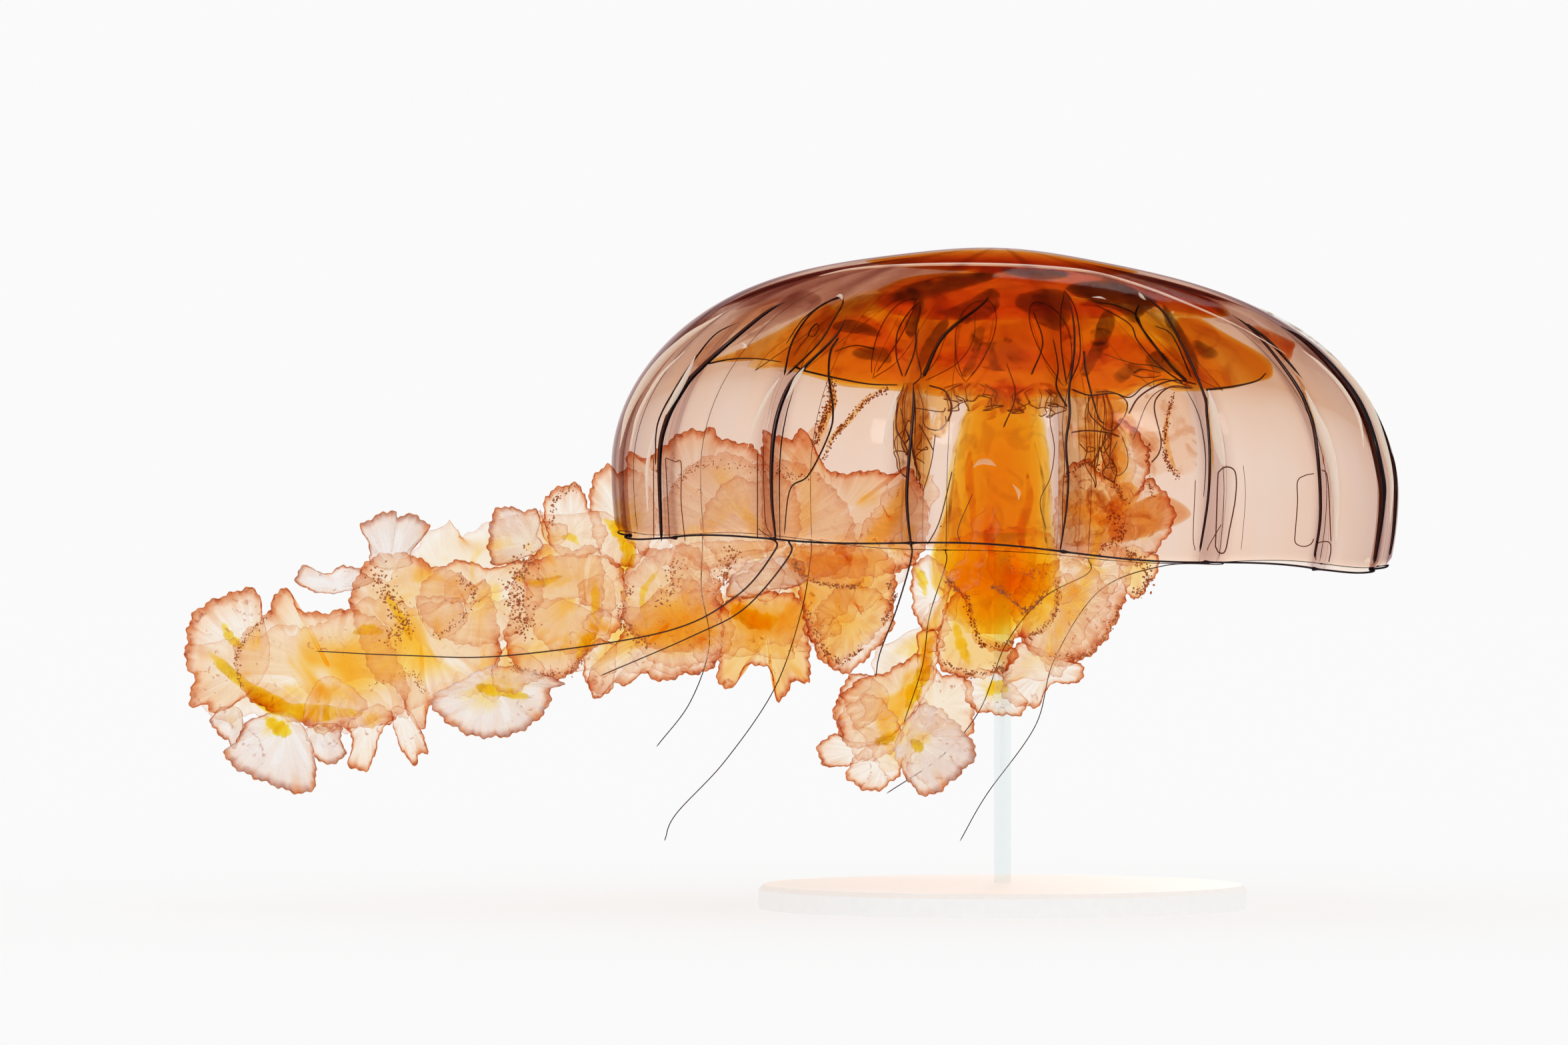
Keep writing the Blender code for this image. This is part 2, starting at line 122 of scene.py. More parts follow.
def carried_frames(path: Sequence[Vector]) -> list[tuple[Vector, Vector]]:
    """Frames carried along a path without twisting, the first normal leaning to -Y.

    Args:
        path: the points to carry them along.

    Returns:
        A normal and a binormal for each point.
    """
    frames = []
    normal = Vector((0, -1, 0))
    for index in range(len(path)):
        ahead = path[min(index + 1, len(path) - 1)] - path[max(index - 1, 0)]
        ahead = ahead.normalized() if ahead.length > 0 else Vector((0, 0, 1))
        normal = normal - normal.dot(ahead) * ahead
        normal = normal.normalized() if normal.length > WELD else ahead.orthogonal().normalized()
        frames.append((normal.copy(), ahead.cross(normal)))
    return frames


def walked(path: Sequence[Sequence[float]]) -> list[float]:
    """How far along a path each of its points lies."""
    return [0, *itertools.accumulate(map(dist, path, path[1:]))]


def spot(marks: Sequence[float], value: float) -> tuple[int, float]:
    """The step between rising marks that a value falls in, and its share of that step."""
    upper = min(max(1, bisect.bisect_left(marks, value)), len(marks) - 1)
    return upper - 1, (value - marks[upper - 1]) / max(1e-9, marks[upper] - marks[upper - 1])


def spokes_of(outline: Points, root: Vector, step: float) -> list[Vector]:
    """Evenly spaced spokes from a root to a smooth closed outline in the X-Z plane.

    Args:
        outline: its points in millimetres.
        root: where the spokes start, in metres.
        step: the distance between their ends.

    Returns:
        The spokes, the first of them again at the end.
    """
    corners = [Vector((x * MM, root.y, z * MM)) for x, z in outline]
    looped = [*corners[-2:], *corners, *corners[:3]]
    dense = smooth_path(looped, 24 * (len(looped) - 1) + 1)[48:-48]
    lengths = walked(dense)
    count = round(lengths[-1] / step)
    spokes = []
    for turn in range(count):
        index, share = spot(lengths, lengths[-1] * turn / count)
        spokes.append(dense[index].lerp(dense[index + 1], share) - root)
    return [*spokes, spokes[0]]


def within(point: tuple[float, float], outline: Points) -> bool:
    """Whether a point lies inside a closed outline.

    Args:
        point: the point.
        outline: the corners.

    Returns:
        True inside.
    """
    x, z = point
    inside = False
    for (x0, z0), (x1, z1) in zip(outline, [*outline[1:], outline[0]]):
        if (z0 > z) != (z1 > z) and x < (x1 - x0) * (z - z0) / (z1 - z0) + x0:
            inside = not inside
    return inside


# ---------------------------------------------------------------- pieces


def shown(name: str, data: bpy.types.ID) -> bpy.types.Object:
    """Adds an object to the scene.

    Args:
        name: its name.
        data: the mesh, lamp or camera that it holds.

    Returns:
        The new object.
    """
    thing = bpy.data.objects.new(name, data)
    bpy.context.scene.collection.objects.link(thing)
    return thing


class Model:
    """One piece in the making: sheets and tubes gathered in a mesh, with maps for its material.

    The map "lay" follows each sheet, and the map "bare" holds how far each place stands free.
    """

    def __init__(self) -> None:
        """Starts an empty piece."""
        self.shape = bmesh.new()
        self.lay = self.shape.loops.layers.uv.new("lay")
        self.bare = self.shape.loops.layers.uv.new("bare")
        self.gel = self.shape.verts.layers.deform.verify()

    def sheet(self, columns: int, rows: int, place: Place, scale: tuple[float, float] = (1, 1),
              weld: bool = False, gel: Optional[Field] = None, bare: Optional[Field] = None) -> None:
        """Lays a grid on a surface.

        Args:
            columns: faces along u.
            rows: faces along v.
            place: the surface, from u and v between 0 and 1.
            scale: how far the map "lay" runs along u and v.
            weld: True to join edges and poles that meet.
            gel: the share of full thickness at u and v, for a sheet that is thickened afterwards.
            bare: the value of the map "bare" at u and v.
        """
        made = bmesh.ops.create_grid(self.shape, x_segments=columns, y_segments=rows, size=1)["verts"]
        for face in dict.fromkeys(face for vertex in made for face in vertex.link_faces):
            for loop in face.loops:
                flat = loop.vert.co
                loop[self.lay].uv = ((flat.x + 1) / 2 * scale[0], (flat.y + 1) / 2 * scale[1])
                if bare is not None:
                    loop[self.bare].uv = (bare((flat.x + 1) / 2, (flat.y + 1) / 2), 0)
        for vertex in made:
            u, v = (vertex.co.x + 1) / 2, (vertex.co.y + 1) / 2
            vertex.co = place(u, v)
            if gel is not None:
                vertex[self.gel][0] = gel(u, v)
        if weld:
            bmesh.ops.remove_doubles(self.shape, verts=made, dist=WELD)

    def fold_map(self, times: int = 1) -> None:
        """Makes v of the map "lay" run from 0 at each sheet's middle to 1 at both edges.

        Args:
            times: how many times as far u runs.
        """
        for face in self.shape.faces:
            for loop in face.loops:
                u, v = loop[self.lay].uv
                loop[self.lay].uv = (u * times, abs(2 * v - 1))

    def tube(self, path: Sequence[Vector], radius: Curve, sides: int = 6,
             frames: Optional[Sequence[tuple[Vector, Vector]]] = None) -> None:
        """Adds a closed tube along a path. A path whose ends meet gives a ring.

        Args:
            path: the points of its middle line.
            radius: its radius at a share of the path.
            sides: how many sides it has.
            frames: normals and binormals to use in place of carried ones.
        """
        frames = frames or carried_frames(path)
        last = len(path) - 1
        ring = (path[0] - path[-1]).length < WELD

        def place(u: float, v: float) -> Vector:
            """The tube's wall.

            Args:
                u: along the path.
                v: round it.

            Returns:
                The point.
            """
            index = round(u * last)
            normal, side = frames[index]
            reach = radius(u) if ring or 0 < index < last else 0.0
            turn = tau * v
            return path[index] + (normal * cos(turn) + side * sin(turn)) * reach

        self.sheet(last, sides, place, (walked(path)[-1] / (10 * MM), 1), weld=True)

    def finish(self, name: str, material: Material, slot: str, replaces: Sequence[str] = (),
               thickness: float = 0, thin: float = 1) -> bpy.types.Object:
        """Makes the piece an object that rides with the model.

        Args:
            name: its name.
            material: its finish.
            slot: a slot name, not used.
            replaces: the CAD nodes that it stands for.
            thickness: its full thickness where it is a sheet, or 0 for a closed shape.
            thin: thickness where its gel is 0, as a share of the full one.

        Returns:
            The new object.
        """
        bmesh.ops.recalc_face_normals(self.shape, faces=self.shape.faces)
        mesh = bpy.data.meshes.new(name)
        self.shape.to_mesh(mesh)
        self.shape.free()
        mesh.materials.append(material)
        mesh.shade_smooth()
        thing = shown(name, mesh)
        if thickness > 0:
            thing.vertex_groups.new(name="gel")
            wall = thing.modifiers.new("thickness", "SOLIDIFY")
            wall.thickness = thickness
            wall.offset = 0
            if thin < 1:
                wall.vertex_group = "gel"
                wall.thickness_vertex_group = thin
        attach(thing, "root")
        if replaces:
            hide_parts(*replaces)
        log.info("%s: %d faces", name, len(mesh.polygons))
        return thing


# ---------------------------------------------------------------- finishes


class Wiring:
    """A material's node tree, wired by short calls."""

    def __init__(self, name: str) -> None:
        """Starts a material with nothing but its output.

        Args:
            name: the material's name.
        """
        self.material = bpy.data.materials.new(name)
        self.material.use_nodes = True
        self.tree = self.material.node_tree
        self.tree.nodes.clear()
        self.output = self.tree.nodes.new("ShaderNodeOutputMaterial")

    def feed(self, socket: Socket, value: Value) -> None:
        """Links a socket to another one, or sets it to a number or a colour.

        Args:
            socket: the input.
            value: what it takes.
        """
        if isinstance(value, bpy.types.NodeSocket):
            self.tree.links.new(value, socket)
        elif socket.type == "RGBA":
            socket.default_value = (*value, 1)
        else:
            socket.default_value = value

    def node(self, kind: str, output: Union[int, str], inputs: dict, **settings: object) -> Socket:
        """Adds a node.

        Args:
            kind: its type without ShaderNode.
            output: which of its outputs to return.
            inputs: its inputs by name or number.
            settings: its properties.

        Returns:
            The output socket.
        """
        made = self.tree.nodes.new("ShaderNode" + kind)
        for name, value in settings.items():
            setattr(made, name, value)
        for key, value in inputs.items():
            self.feed(made.inputs[key], value)
        return made.outputs[output]

    def maths(self, operation: str, *values: Value, clamp: bool = False) -> Socket:
        """A Math node on one to three values."""
        return self.node("Math", 0, dict(enumerate(values)), operation=operation, use_clamp=clamp)

    def times(self, *values: Value) -> Socket:
        """The product of two or more values."""
        return functools.reduce(lambda a, b: self.maths("MULTIPLY", a, b), values)

    def blend(self, share: Value, low: Value, high: Value, how: str = "MIX") -> Socket:
        """Mixes two colours by a share."""
        return self.node("Mix", 2, {0: share, 6: low, 7: high}, data_type="RGBA", blend_type=how)

    def rise(self, value: Value, start: float, end: float) -> Socket:
        """A smooth rise from 0 to 1 as a value goes from start to end, or a fall if end is lower."""
        inputs = {"Value": value, "From Min": start, "From Max": end, "To Min": 0, "To Max": 1.0}
        return self.node("MapRange", "Result", inputs, interpolation_type="SMOOTHSTEP")

    def line(self, value: Value, centre: float, half: float) -> Socket:
        """1 on a centre value, falling to 0 at half on each side of it."""
        away = self.maths("ABSOLUTE", self.maths("SUBTRACT", value, centre))
        return self.rise(away, half, 0)

    def coordinates(self) -> Socket:
        """The piece's own coordinates."""
        return self.node("TexCoord", "Object", {})

    def split(self, vector: Socket) -> tuple[Socket, Socket, Socket]:
        """The three parts of a vector."""
        made = self.node("SeparateXYZ", 0, {0: vector}).node
        return tuple(made.outputs)

    def joined(self, x: Value, y: Value, z: Value) -> Socket:
        """A vector from three values."""
        return self.node("CombineXYZ", 0, {0: x, 1: y, 2: z})

    def map(self, layer: str) -> tuple[Socket, Socket]:
        """The two values of one of the piece's maps."""
        u, v, _ = self.split(self.node("UVMap", 0, {}, uv_map=layer))
        return u, v

    def noise(self, vector: Value, scale: float, detail: float = 2, roughness: float = 0.5,
              distortion: float = 0) -> Socket:
        """Cloudy noise from about 0.3 to 0.7.

        Args:
            vector: where to read it.
            scale: how many clouds a unit holds.
            detail: how many finer layers it has.
            roughness: how strong these are.
            distortion: how far it swirls.

        Returns:
            The noise.
        """
        inputs = {"Vector": vector, "Scale": scale, "Detail": detail, "Roughness": roughness,
                  "Distortion": distortion}
        return self.node("TexNoise", "Fac", inputs)

    def bump(self, height: Value, distance: float, strength: float = 1) -> Socket:
        """A normal from a height."""
        return self.node("Bump", 0, {"Height": height, "Distance": distance, "Strength": strength})

    def absorb(self, per_metre: Colour) -> None:
        """Fills the piece with jelly that takes these shares of light per metre.

        Args:
            per_metre: what it takes of red, green and blue.
        """
        density = max(per_metre)
        colour = tuple(1 - taken / density for taken in per_metre)
        volume = self.node("VolumeAbsorption", 0, {"Color": colour, "Density": density})
        self.tree.links.new(volume, self.output.inputs["Volume"])

    def jelly(self, tint: Value, flesh: Value, share: Value, gloss: float, roughness: Value,
              normal: Optional[Socket] = None) -> Material:
        """Ends the tree with wet see-through flesh.

        Args:
            tint: what one face lets through.
            flesh: the colour of what scatters light.
            share: the share of light that is scattered.
            gloss: the share of light that is reflected.
            roughness: of the gloss.
            normal: a bumped normal.

        Returns:
            The material.
        """
        facing = {"Normal": normal} if normal is not None else {}
        clear = self.node("BsdfTransparent", 0, {"Color": tint})
        front = self.node("BsdfDiffuse", 0, {"Color": flesh, **facing})
        behind = self.node("BsdfTranslucent", 0, {"Color": flesh, **facing})
        body = self.node("MixShader", 0, {0: 0.5, 1: front, 2: behind})
        film = self.node("MixShader", 0, {0: share, 1: clear, 2: body})
        wet = self.node("BsdfAnisotropic", 0, {"Roughness": roughness, **facing})
        surface = self.node("MixShader", 0, {0: gloss, 1: film, 2: wet})
        self.tree.links.new(surface, self.output.inputs["Surface"])
        return self.material


@dataclass(frozen=True)
class BellSkinFinish:
    """Clear outer skin of the bell: a beige tint, cloudy, with painted mauve shade on the flanks and fine
    lines by each groove.
    """

    tint: Colour = (1, 0.945, 0.900)
    cloud: Colour = (1, 0.925, 0.865)
    # Colour of the painted shade on the flanks by each groove.
    shade: Colour = (0.84, 0.77, 0.77)
    line: Colour = (0.62, 0.46, 0.40)
    absorb: Colour = (54, 68, 62)

    def make(self) -> Material:
        """Builds the material. The map runs a whole number a panel along u, and margin to top along v.

        Returns:
            The material.
        """
        w = Wiring("bell_skin")
        u, v = w.map("lay")
        _, y, _ = w.split(w.coordinates())
        near = w.rise(y, 0.004, -0.012)
        across = w.maths("SUBTRACT", w.times(w.maths("FRACT", u), 2), 1)
        beside = w.maths("ABSOLUTE", across)
        cloud = w.noise(w.joined(w.times(u, 0.8), w.times(v, 2), 0), 2, 3)
        bent = w.maths("ADD", across, w.times(w.maths("SUBTRACT", cloud, 0.5), 0.16))
        tint = w.blend(w.rise(cloud, 0.35, 0.65), self.tint, self.cloud)
        # Painted shade: the flanks by each groove are darkened with the shade colour, in the front half only.
        flank_shade = w.times(w.rise(beside, 0.64, 1), near)
        tint = w.blend(flank_shade, tint, self.shade, "MULTIPLY")
        fine = w.maths("ADD", w.line(bent, 0.90, 0.010), w.line(bent, -0.84, 0.009))
        fine = w.times(fine, w.rise(v, 0.36, 0.24), near)
        tint = w.blend(w.times(fine, 0.7), tint, self.line)
        w.absorb(self.absorb)
        return w.jelly(tint, (1, 0.92, 0.78), 0, 0.003, 0.06)


@dataclass(frozen=True)
class CrownFinish:
    """Smoky jelly of the crown, with streaks that run from its top."""

    name: str = "crown_jelly"
    absorb: Colour = (1.5, 3.6, 6)
    smoke: Colour = (0.93, 0.87, 0.84)

    def make(self) -> Material:
        """Builds the material.

        Returns:
            The material.
        """
        w = Wiring(self.name)
        x, y, z = w.split(w.coordinates())
        reach = w.maths("SQRT", w.maths("ADD", w.maths("POWER", x, 2), w.maths("POWER", y, 2)))
        safe = w.maths("ADD", reach, 0.002)
        rays = (w.maths("DIVIDE", x, safe), w.maths("DIVIDE", y, safe), w.times(reach, 14))
        streaks = w.noise(w.joined(*rays), 3.4, 4, 0.55, 0.6)
        high = w.rise(z, 0.128, 0.150)
        smoke = w.times(w.rise(streaks, 0.46, 0.66), high, 0.75)
        tint = w.blend(smoke, (1, 1, 1), self.smoke)
        w.absorb(self.absorb)
        return w.jelly(tint, (0.7, 0.5, 0.42), 0, 0, 0.08)


@dataclass(frozen=True)
class AmberFinish:
    """Amber jelly with smoky blots, and glints where it has gloss."""

    name: str
    absorb: Colour
    blot: Colour = (0.62, 0.36, 0.25)
    blots: float = 0.6
    scale: float = 42.0
    flesh: Colour = (1, 0.55, 0.08)
    share: float = 0.0
    gloss: float = 0.0

    def make(self) -> Material:
        """Builds the material.

        Returns:
            The material.
        """
        w = Wiring(self.name)
        here = w.coordinates()
        cloud = w.noise(here, self.scale, 4, 0.55, 1.2)
        smoke = w.times(w.rise(cloud, 0.52, 0.66), self.blots)
        tint = w.blend(smoke, (1, 1, 1), self.blot)
        w.absorb(self.absorb)
        normal = w.bump(cloud, 1.6 * MM, 0.6) if self.gloss > 0 else None
        return w.jelly(tint, self.flesh, self.share, self.gloss, 0.12, normal)


@dataclass(frozen=True)
class StrandFinish:
    """Dark strand: near black, with another colour along one side and fine grain."""

    name: str
    dark: Colour = (0.005, 0.004, 0.014)
    edge: Colour = (0.16, 0.035, 0.012)
    start: float = 0.75
    clear: float = 0.10

    def make(self) -> Material:
        """Builds the material. The edge colour comes in along v.

        Returns:
            The material.
        """
        w = Wiring(self.name)
        _, v = w.map("lay")
        grain = w.noise(w.coordinates(), 900, 3)
        ramp = w.rise(w.maths("ADD", v, w.times(grain, 0.2)), self.start, 1.05)
        colour = w.blend(ramp, self.dark, self.edge)
        share = w.maths("SUBTRACT", 1, w.times(ramp, self.clear))
        normal = w.bump(grain, 0.1 * MM, 0.4)
        return w.jelly(w.blend(ramp, (0.1, 0.05, 0.08), (0.8, 0.45, 0.3)), colour, share, 0.012, 0.2, normal)


class Tone(Enum):
    """The kinds of frill."""

    PEACH = "peach"
    WHITE = "white"
    AMBER = "amber"
    DEEP = "deep"
    PALE = "pale"


@dataclass(frozen=True)
class FilmFinish:
    """Thin frill: streaks that run out to a crimped rim, gel at its root and rows of tiny grains."""

    name: str
    absorb: Colour
    flesh: Colour
    share: float
    streak: float
    rays: float = 7.0
    gel: Colour = (1, 0.88, 0.50)
    rim: Colour = (0.88, 0.60, 0.43)
    fold: Colour = (0.96, 0.87, 0.80)
    grain: Colour = (0.62, 0.22, 0.09)

    def make(self) -> Material:
        """Builds the material. The map runs 1 a centimetre of rim along u, and root to rim along v.

        Returns:
            The material.
        """
        w = Wiring(self.name)
        u, v = w.map("lay")
        here = w.coordinates()
        rays = w.joined(w.times(u, self.rays), w.times(v, 0.9), 0)
        rays = w.noise(rays, 1, 3, 0.6, 0.3)
        bare, _ = w.map("bare")
        out = w.rise(v, 0.10, 0.55)
        share = w.times(w.rise(rays, 0.40, 0.62), out, self.streak)
        share = w.maths("ADD", share, self.share, clamp=True)
        blush = w.noise(here, 55, 3, 0.5, 0.8)
        gel = w.times(w.rise(blush, 0.50, 0.62), w.rise(v, 0.75, 0.20))
        tint = w.blend(gel, (1, 1, 1), self.gel)
        grit = w.noise(here, 620, 3, 0.6, 0.5)
        edge = w.rise(w.maths("ADD", v, w.times(grit, 0.12)), 0.90, 1.06)
        edge = w.times(edge, bare)
        pleat = w.noise(w.joined(w.times(u, 2.6), w.times(v, 0.5), 0), 1, 2, 0.5, 0.2)
        pleat = w.times(w.rise(pleat, 0.50, 0.60), w.rise(v, 0.35, 0.92), bare)
        tint = w.blend(pleat, tint, self.fold, "MULTIPLY")
        tint = w.blend(edge, tint, self.rim, "MULTIPLY")
        pink = w.times(w.rise(v, 0.62, 0.98), bare)
        tint = w.blend(pink, tint, (1, 0.89, 0.79), "MULTIPLY")
        belt = w.noise(here, 75, 2, 0.5, 0.6)
        rows = w.times(w.maths("MAXIMUM", w.line(belt, 0.58, 0.02), w.rise(v, 0.90, 1)), bare)
        grains = w.times(w.rise(grit, 0.55, 0.60), rows, 0.6)
        tint = w.blend(grains, tint, self.grain, "MULTIPLY")
        flesh = w.blend(w.maths("MAXIMUM", grains, w.times(edge, 0.6)), self.flesh, self.grain)
        share = w.maths("ADD", share, w.times(grains, 0.25), clamp=True)
        w.absorb(self.absorb)
        return w.jelly(tint, flesh, share, 0, 0.22)


@dataclass(frozen=True)
class RimFinish:
    """Knobbly rim of a frill: pinkish brown with darker grains."""

    def make(self) -> Material:
        """Builds the material.

        Returns:
            The material.
        """
        w = Wiring("frill_rim")
        here = w.coordinates()
        patch = w.noise(here, 160, 3)
        grit = w.noise(here, 900, 3, 0.6)
        flesh = w.blend(w.rise(patch, 0.40, 0.60), (0.86, 0.48, 0.28), (0.56, 0.20, 0.09))
        flesh = w.blend(w.rise(grit, 0.54, 0.62), flesh, (0.42, 0.13, 0.06))
        tint = w.blend(w.rise(grit, 0.45, 0.60), (0.98, 0.82, 0.68), (0.88, 0.56, 0.38))
        return w.jelly(tint, flesh, 0.26, 0.008, 0.25, w.bump(grit, 0.3 * MM, 0.5))


# ---------------------------------------------------------------- the bell


@dataclass(frozen=True)
class BellForm:
    """The bell's sizes and the surface that they give, which all its pieces share."""

    radius: float = 100 * MM
    height: float = 77 * MM
    widest: float = 0.233
    dome: float = 0.730
    boss: float = 0.037
    boss_spread: float = 0.25
    flank_power: float = 2.7
    dome_power: float = 1.9
    shoulder: float = 0.72
    tuck: float = 0.017
    lean: float = 3.5 * MM
    lift: float = 90.6 * MM
    roll: float = radians(2.3)
    panels: int = 16
    first_groove: float = radians(7.5)
    groove_depth: float = 2.6 * MM
    wave: float = 0.8 * MM
    floor: float = 44 * MM
    stomach_radius: float = 66 * MM
    stomach_rise: float = 26.5 * MM
    steps: int = 200
    marks: list = field(default_factory=list, compare=False)
    table: list = field(default_factory=list, compare=False)

    def __post_init__(self) -> None:
        """Works out points along the outline, from the margin to the top."""
        turn_at = self.shoulder * self.height
        heights = [turn_at * step / self.steps for step in range(self.steps)]
        points = [(self.outer_radius(height), height) for height in heights]
        edge = self.outer_radius(turn_at)
        for step in range(self.steps + 1):
            radius = edge * cos(pi / 2 * step / self.steps)
            points.append((radius, self.outer_height(radius)))
        lengths = walked(points)
        self.marks.extend(length / lengths[-1] for length in lengths)
        self.table.extend(points)

    def outer_radius(self, height: float) -> float:
        """Radius of the outside at a height above the margin.

        Args:
            height: the height.

        Returns:
            The radius.
        """
        share = height / self.height
        if share < self.widest:
            return self.radius * (1 - self.tuck * (1 - share / self.widest) ** 2)
        rise = (share - self.widest) / self.dome
        return self.radius * (1 - min(rise, 1) ** self.dome_power) ** (1 / self.flank_power)

    def outer_height(self, radius: float) -> float:
        """Height of the outside above the margin at a radius.

        Args:
            radius: the radius.

        Returns:
            The height.
        """
        share = radius / self.radius
        dome = self.dome * (1 - share**self.flank_power) ** (1 / self.dome_power)
        return self.height * (self.widest + dome + self.boss * exp(-((share / self.boss_spread) ** 2)))

    def stomach_height(self, radius: float) -> float:
        """Height of the stomach's roof at a radius."""
        share = min(1, radius / self.stomach_radius)
        return self.floor + self.stomach_rise * (1 - share**2) ** 0.75

    def outline(self, share: float) -> tuple[float, float, float, float]:
        """Reads the outline.

        Args:
            share: 0 at the margin and 1 at the top.

        Returns:
            The radius and the height, and the radial and upright parts of the inward normal.
        """
        index, part = spot(self.marks, max(0, min(1, share)))
        (r0, h0), (r1, h1) = self.table[index : index + 2]
        length = max(1e-9, hypot(r1 - r0, h1 - h0))
        return (r0 + (r1 - r0) * part, h0 + (h1 - h0) * part, -(h1 - h0) / length, (r1 - r0) / length)

    def share_at(self, height: float) -> float:
        """How far along the outline a height is reached."""
        return next(s for s, (_, h) in zip(self.marks, self.table) if h >= height)

    def share_at_radius(self, radius: float) -> float:
        """How far along the outline, past its widest ring, a radius is reached."""
        widest = self.widest * self.height
        return next(s for s, (r, h) in zip(self.marks, self.table) if h > widest and r <= radius)

    def dip(self, angle: float) -> float:
        """Inward dip of the outside at an angle.

        Args:
            angle: the angle.

        Returns:
            The dip.
        """
        turns = (angle - self.first_groove) / tau * self.panels
        share = 0.3 + 0.7 * smooth_step(0.5 + 4 * cos(angle))
        return self.groove_depth * share * abs(2 * (turns % 1) - 1) ** 5

    def droop(self, angle: float) -> float:
        """Height of the margin's free edge at an angle."""
        scallop = 0.7 * MM * sin(8 * angle + radians(120))
        return self.wave * (cos(3 * angle + 0.6) - cos(angle - 1.9)) + scallop

    def groove(self, index: int) -> float:
        """The angle of a groove."""
        return self.first_groove + tau * index / self.panels

    def place(self, angle: float, radius: float, height: float) -> Vector:
        """A point of the room from an angle, a radius and a height in the bell's own frame.

        Args:
            angle: round the bell.
            radius: from its axis.
            height: above its margin.

        Returns:
            The point.
        """
        x = radius * sin(angle) - self.lean * (height / self.height) ** 2
        y = -radius * cos(angle)
        level, tilt = cos(self.roll), sin(self.roll)
        return Vector((x * level + height * tilt, y, height * level - x * tilt + self.lift))

    def dome_radius(self, height: float) -> float:
        """Radius of the outside at a height, past its widest ring.

        Args:
            height: the height.

        Returns:
            The radius.
        """
        low, high = 0, self.radius
        for _ in range(30):
            middle = (low + high) / 2
            low, high = (middle, high) if self.outer_height(middle) > height else (low, middle)
        return low

    def front(self, x: float, z: float, depth: float) -> Vector:
        """A point in the front half of the bell, found by where it is seen from -Y.

        Args:
            x: where it is seen along X.
            z: where it is seen along Z.
            depth: how deep it lies.

        Returns:
            The point.
        """
        level, tilt = cos(self.roll), sin(self.roll)
        height = max(0, x * tilt + (z - self.lift) * level)
        across = x * level - (z - self.lift) * tilt + self.lean * (height / self.height) ** 2
        past = height > self.widest * self.height
        radius = self.dome_radius(height) if past else self.outer_radius(height)
        return Vector((x, -sqrt(max(0, (radius - depth) ** 2 - across**2)), z))

    def skin(self, angle: float, share: float, depth: float = 0) -> Vector:
        """A point under the outside.

        Args:
            angle: round the bell.
            share: 0 at the margin and 1 at the top.
            depth: how deep it lies.

        Returns:
            The point.
        """
        radius, height, inward, up = self.outline(share)
        fade = smooth_step((radius - self.stomach_radius) / (20 * MM))
        radius += inward * depth - fade * self.dip(angle)
        height += up * depth + self.droop(angle) * max(0, 1 - height / self.floor)
        return self.place(angle, max(0, radius), height)


@dataclass(frozen=True)
class Strand:
    """A dark strand on the front of the bell: points in millimetres seen from -Y, its half width in
    millimetres, and how deep it lies under the outside."""

    points: Points
    half: float
    deep: float = 1.6
    foot: float = 0.6


@dataclass(frozen=True)
class Leaf:
    """A leaf-shaped fold on the front of the bell, between two edges seen from -Y, in millimetres."""

    left: Points
    right: Points
    deep: float = 5.0
    outline: float = 0.20


GROOVE_STRANDS = (
    Strand([(-86, 93), (-86.5, 113), (-85, 122.5), (-81, 130.5), (-76, 136.5), (-61.5, 149), (-55, 153)],
        0.52, 1.6, 0.55),
    Strand([(-87.5, 112), (-87, 122.5), (-82.5, 131.5), (-77.5, 139), (-72.5, 145), (-66.5, 148)], 0.18),
    Strand([(-57.5, 93.5), (-58.5, 103.5), (-58.5, 114), (-57.5, 122.5), (-55, 130), (-51.5, 135),
        (-43, 143.5), (-40, 149)], 0.42, 1.8, 0.45),
    Strand([(-56.5, 93.5), (-56.5, 113), (-55, 124), (-53, 131)], 0.12, 2.4),
    Strand([(-24.5, 91.5), (-25.5, 100.5), (-25.5, 108.5), (-24, 125.5), (-24, 131.5)], 0.32),
    Strand([(11.5, 90.5), (13, 100.5), (13.5, 108.5), (13, 117), (14, 124), (14, 130.5), (15.5, 140),
        (15.5, 148.5), (14, 155.5)], 0.25),
    Strand([(46, 90.5), (48, 103.5), (48.5, 114), (48, 124), (47, 130.5), (40, 147), (36.5, 152),
        (33.5, 154.5)], 0.27, 1.6, 0.8),
    Strand([(47, 104), (47.5, 114), (46, 124), (42.5, 131.5)], 0.1, 2.6),
    Strand([(75.5, 89), (77, 100.5), (76, 118), (74, 126.5), (70.5, 133.5), (62, 145), (56, 150)], 0.36),
    Strand([(60, 147.5), (66, 142.5), (73.5, 133.5)], 0.3, 2.2),
    Strand([(92.5, 87.5), (94.5, 102), (94, 110.5), (89, 128), (77.5, 142.5), (69.5, 147.5)], 0.8, 1.8, 0.4),
    Strand([(97.5, 89.5), (98.5, 96), (99, 108.5), (98, 117), (95, 125), (90.5, 132.5), (85, 139)], 0.42,
        0.6, 0.5),
)

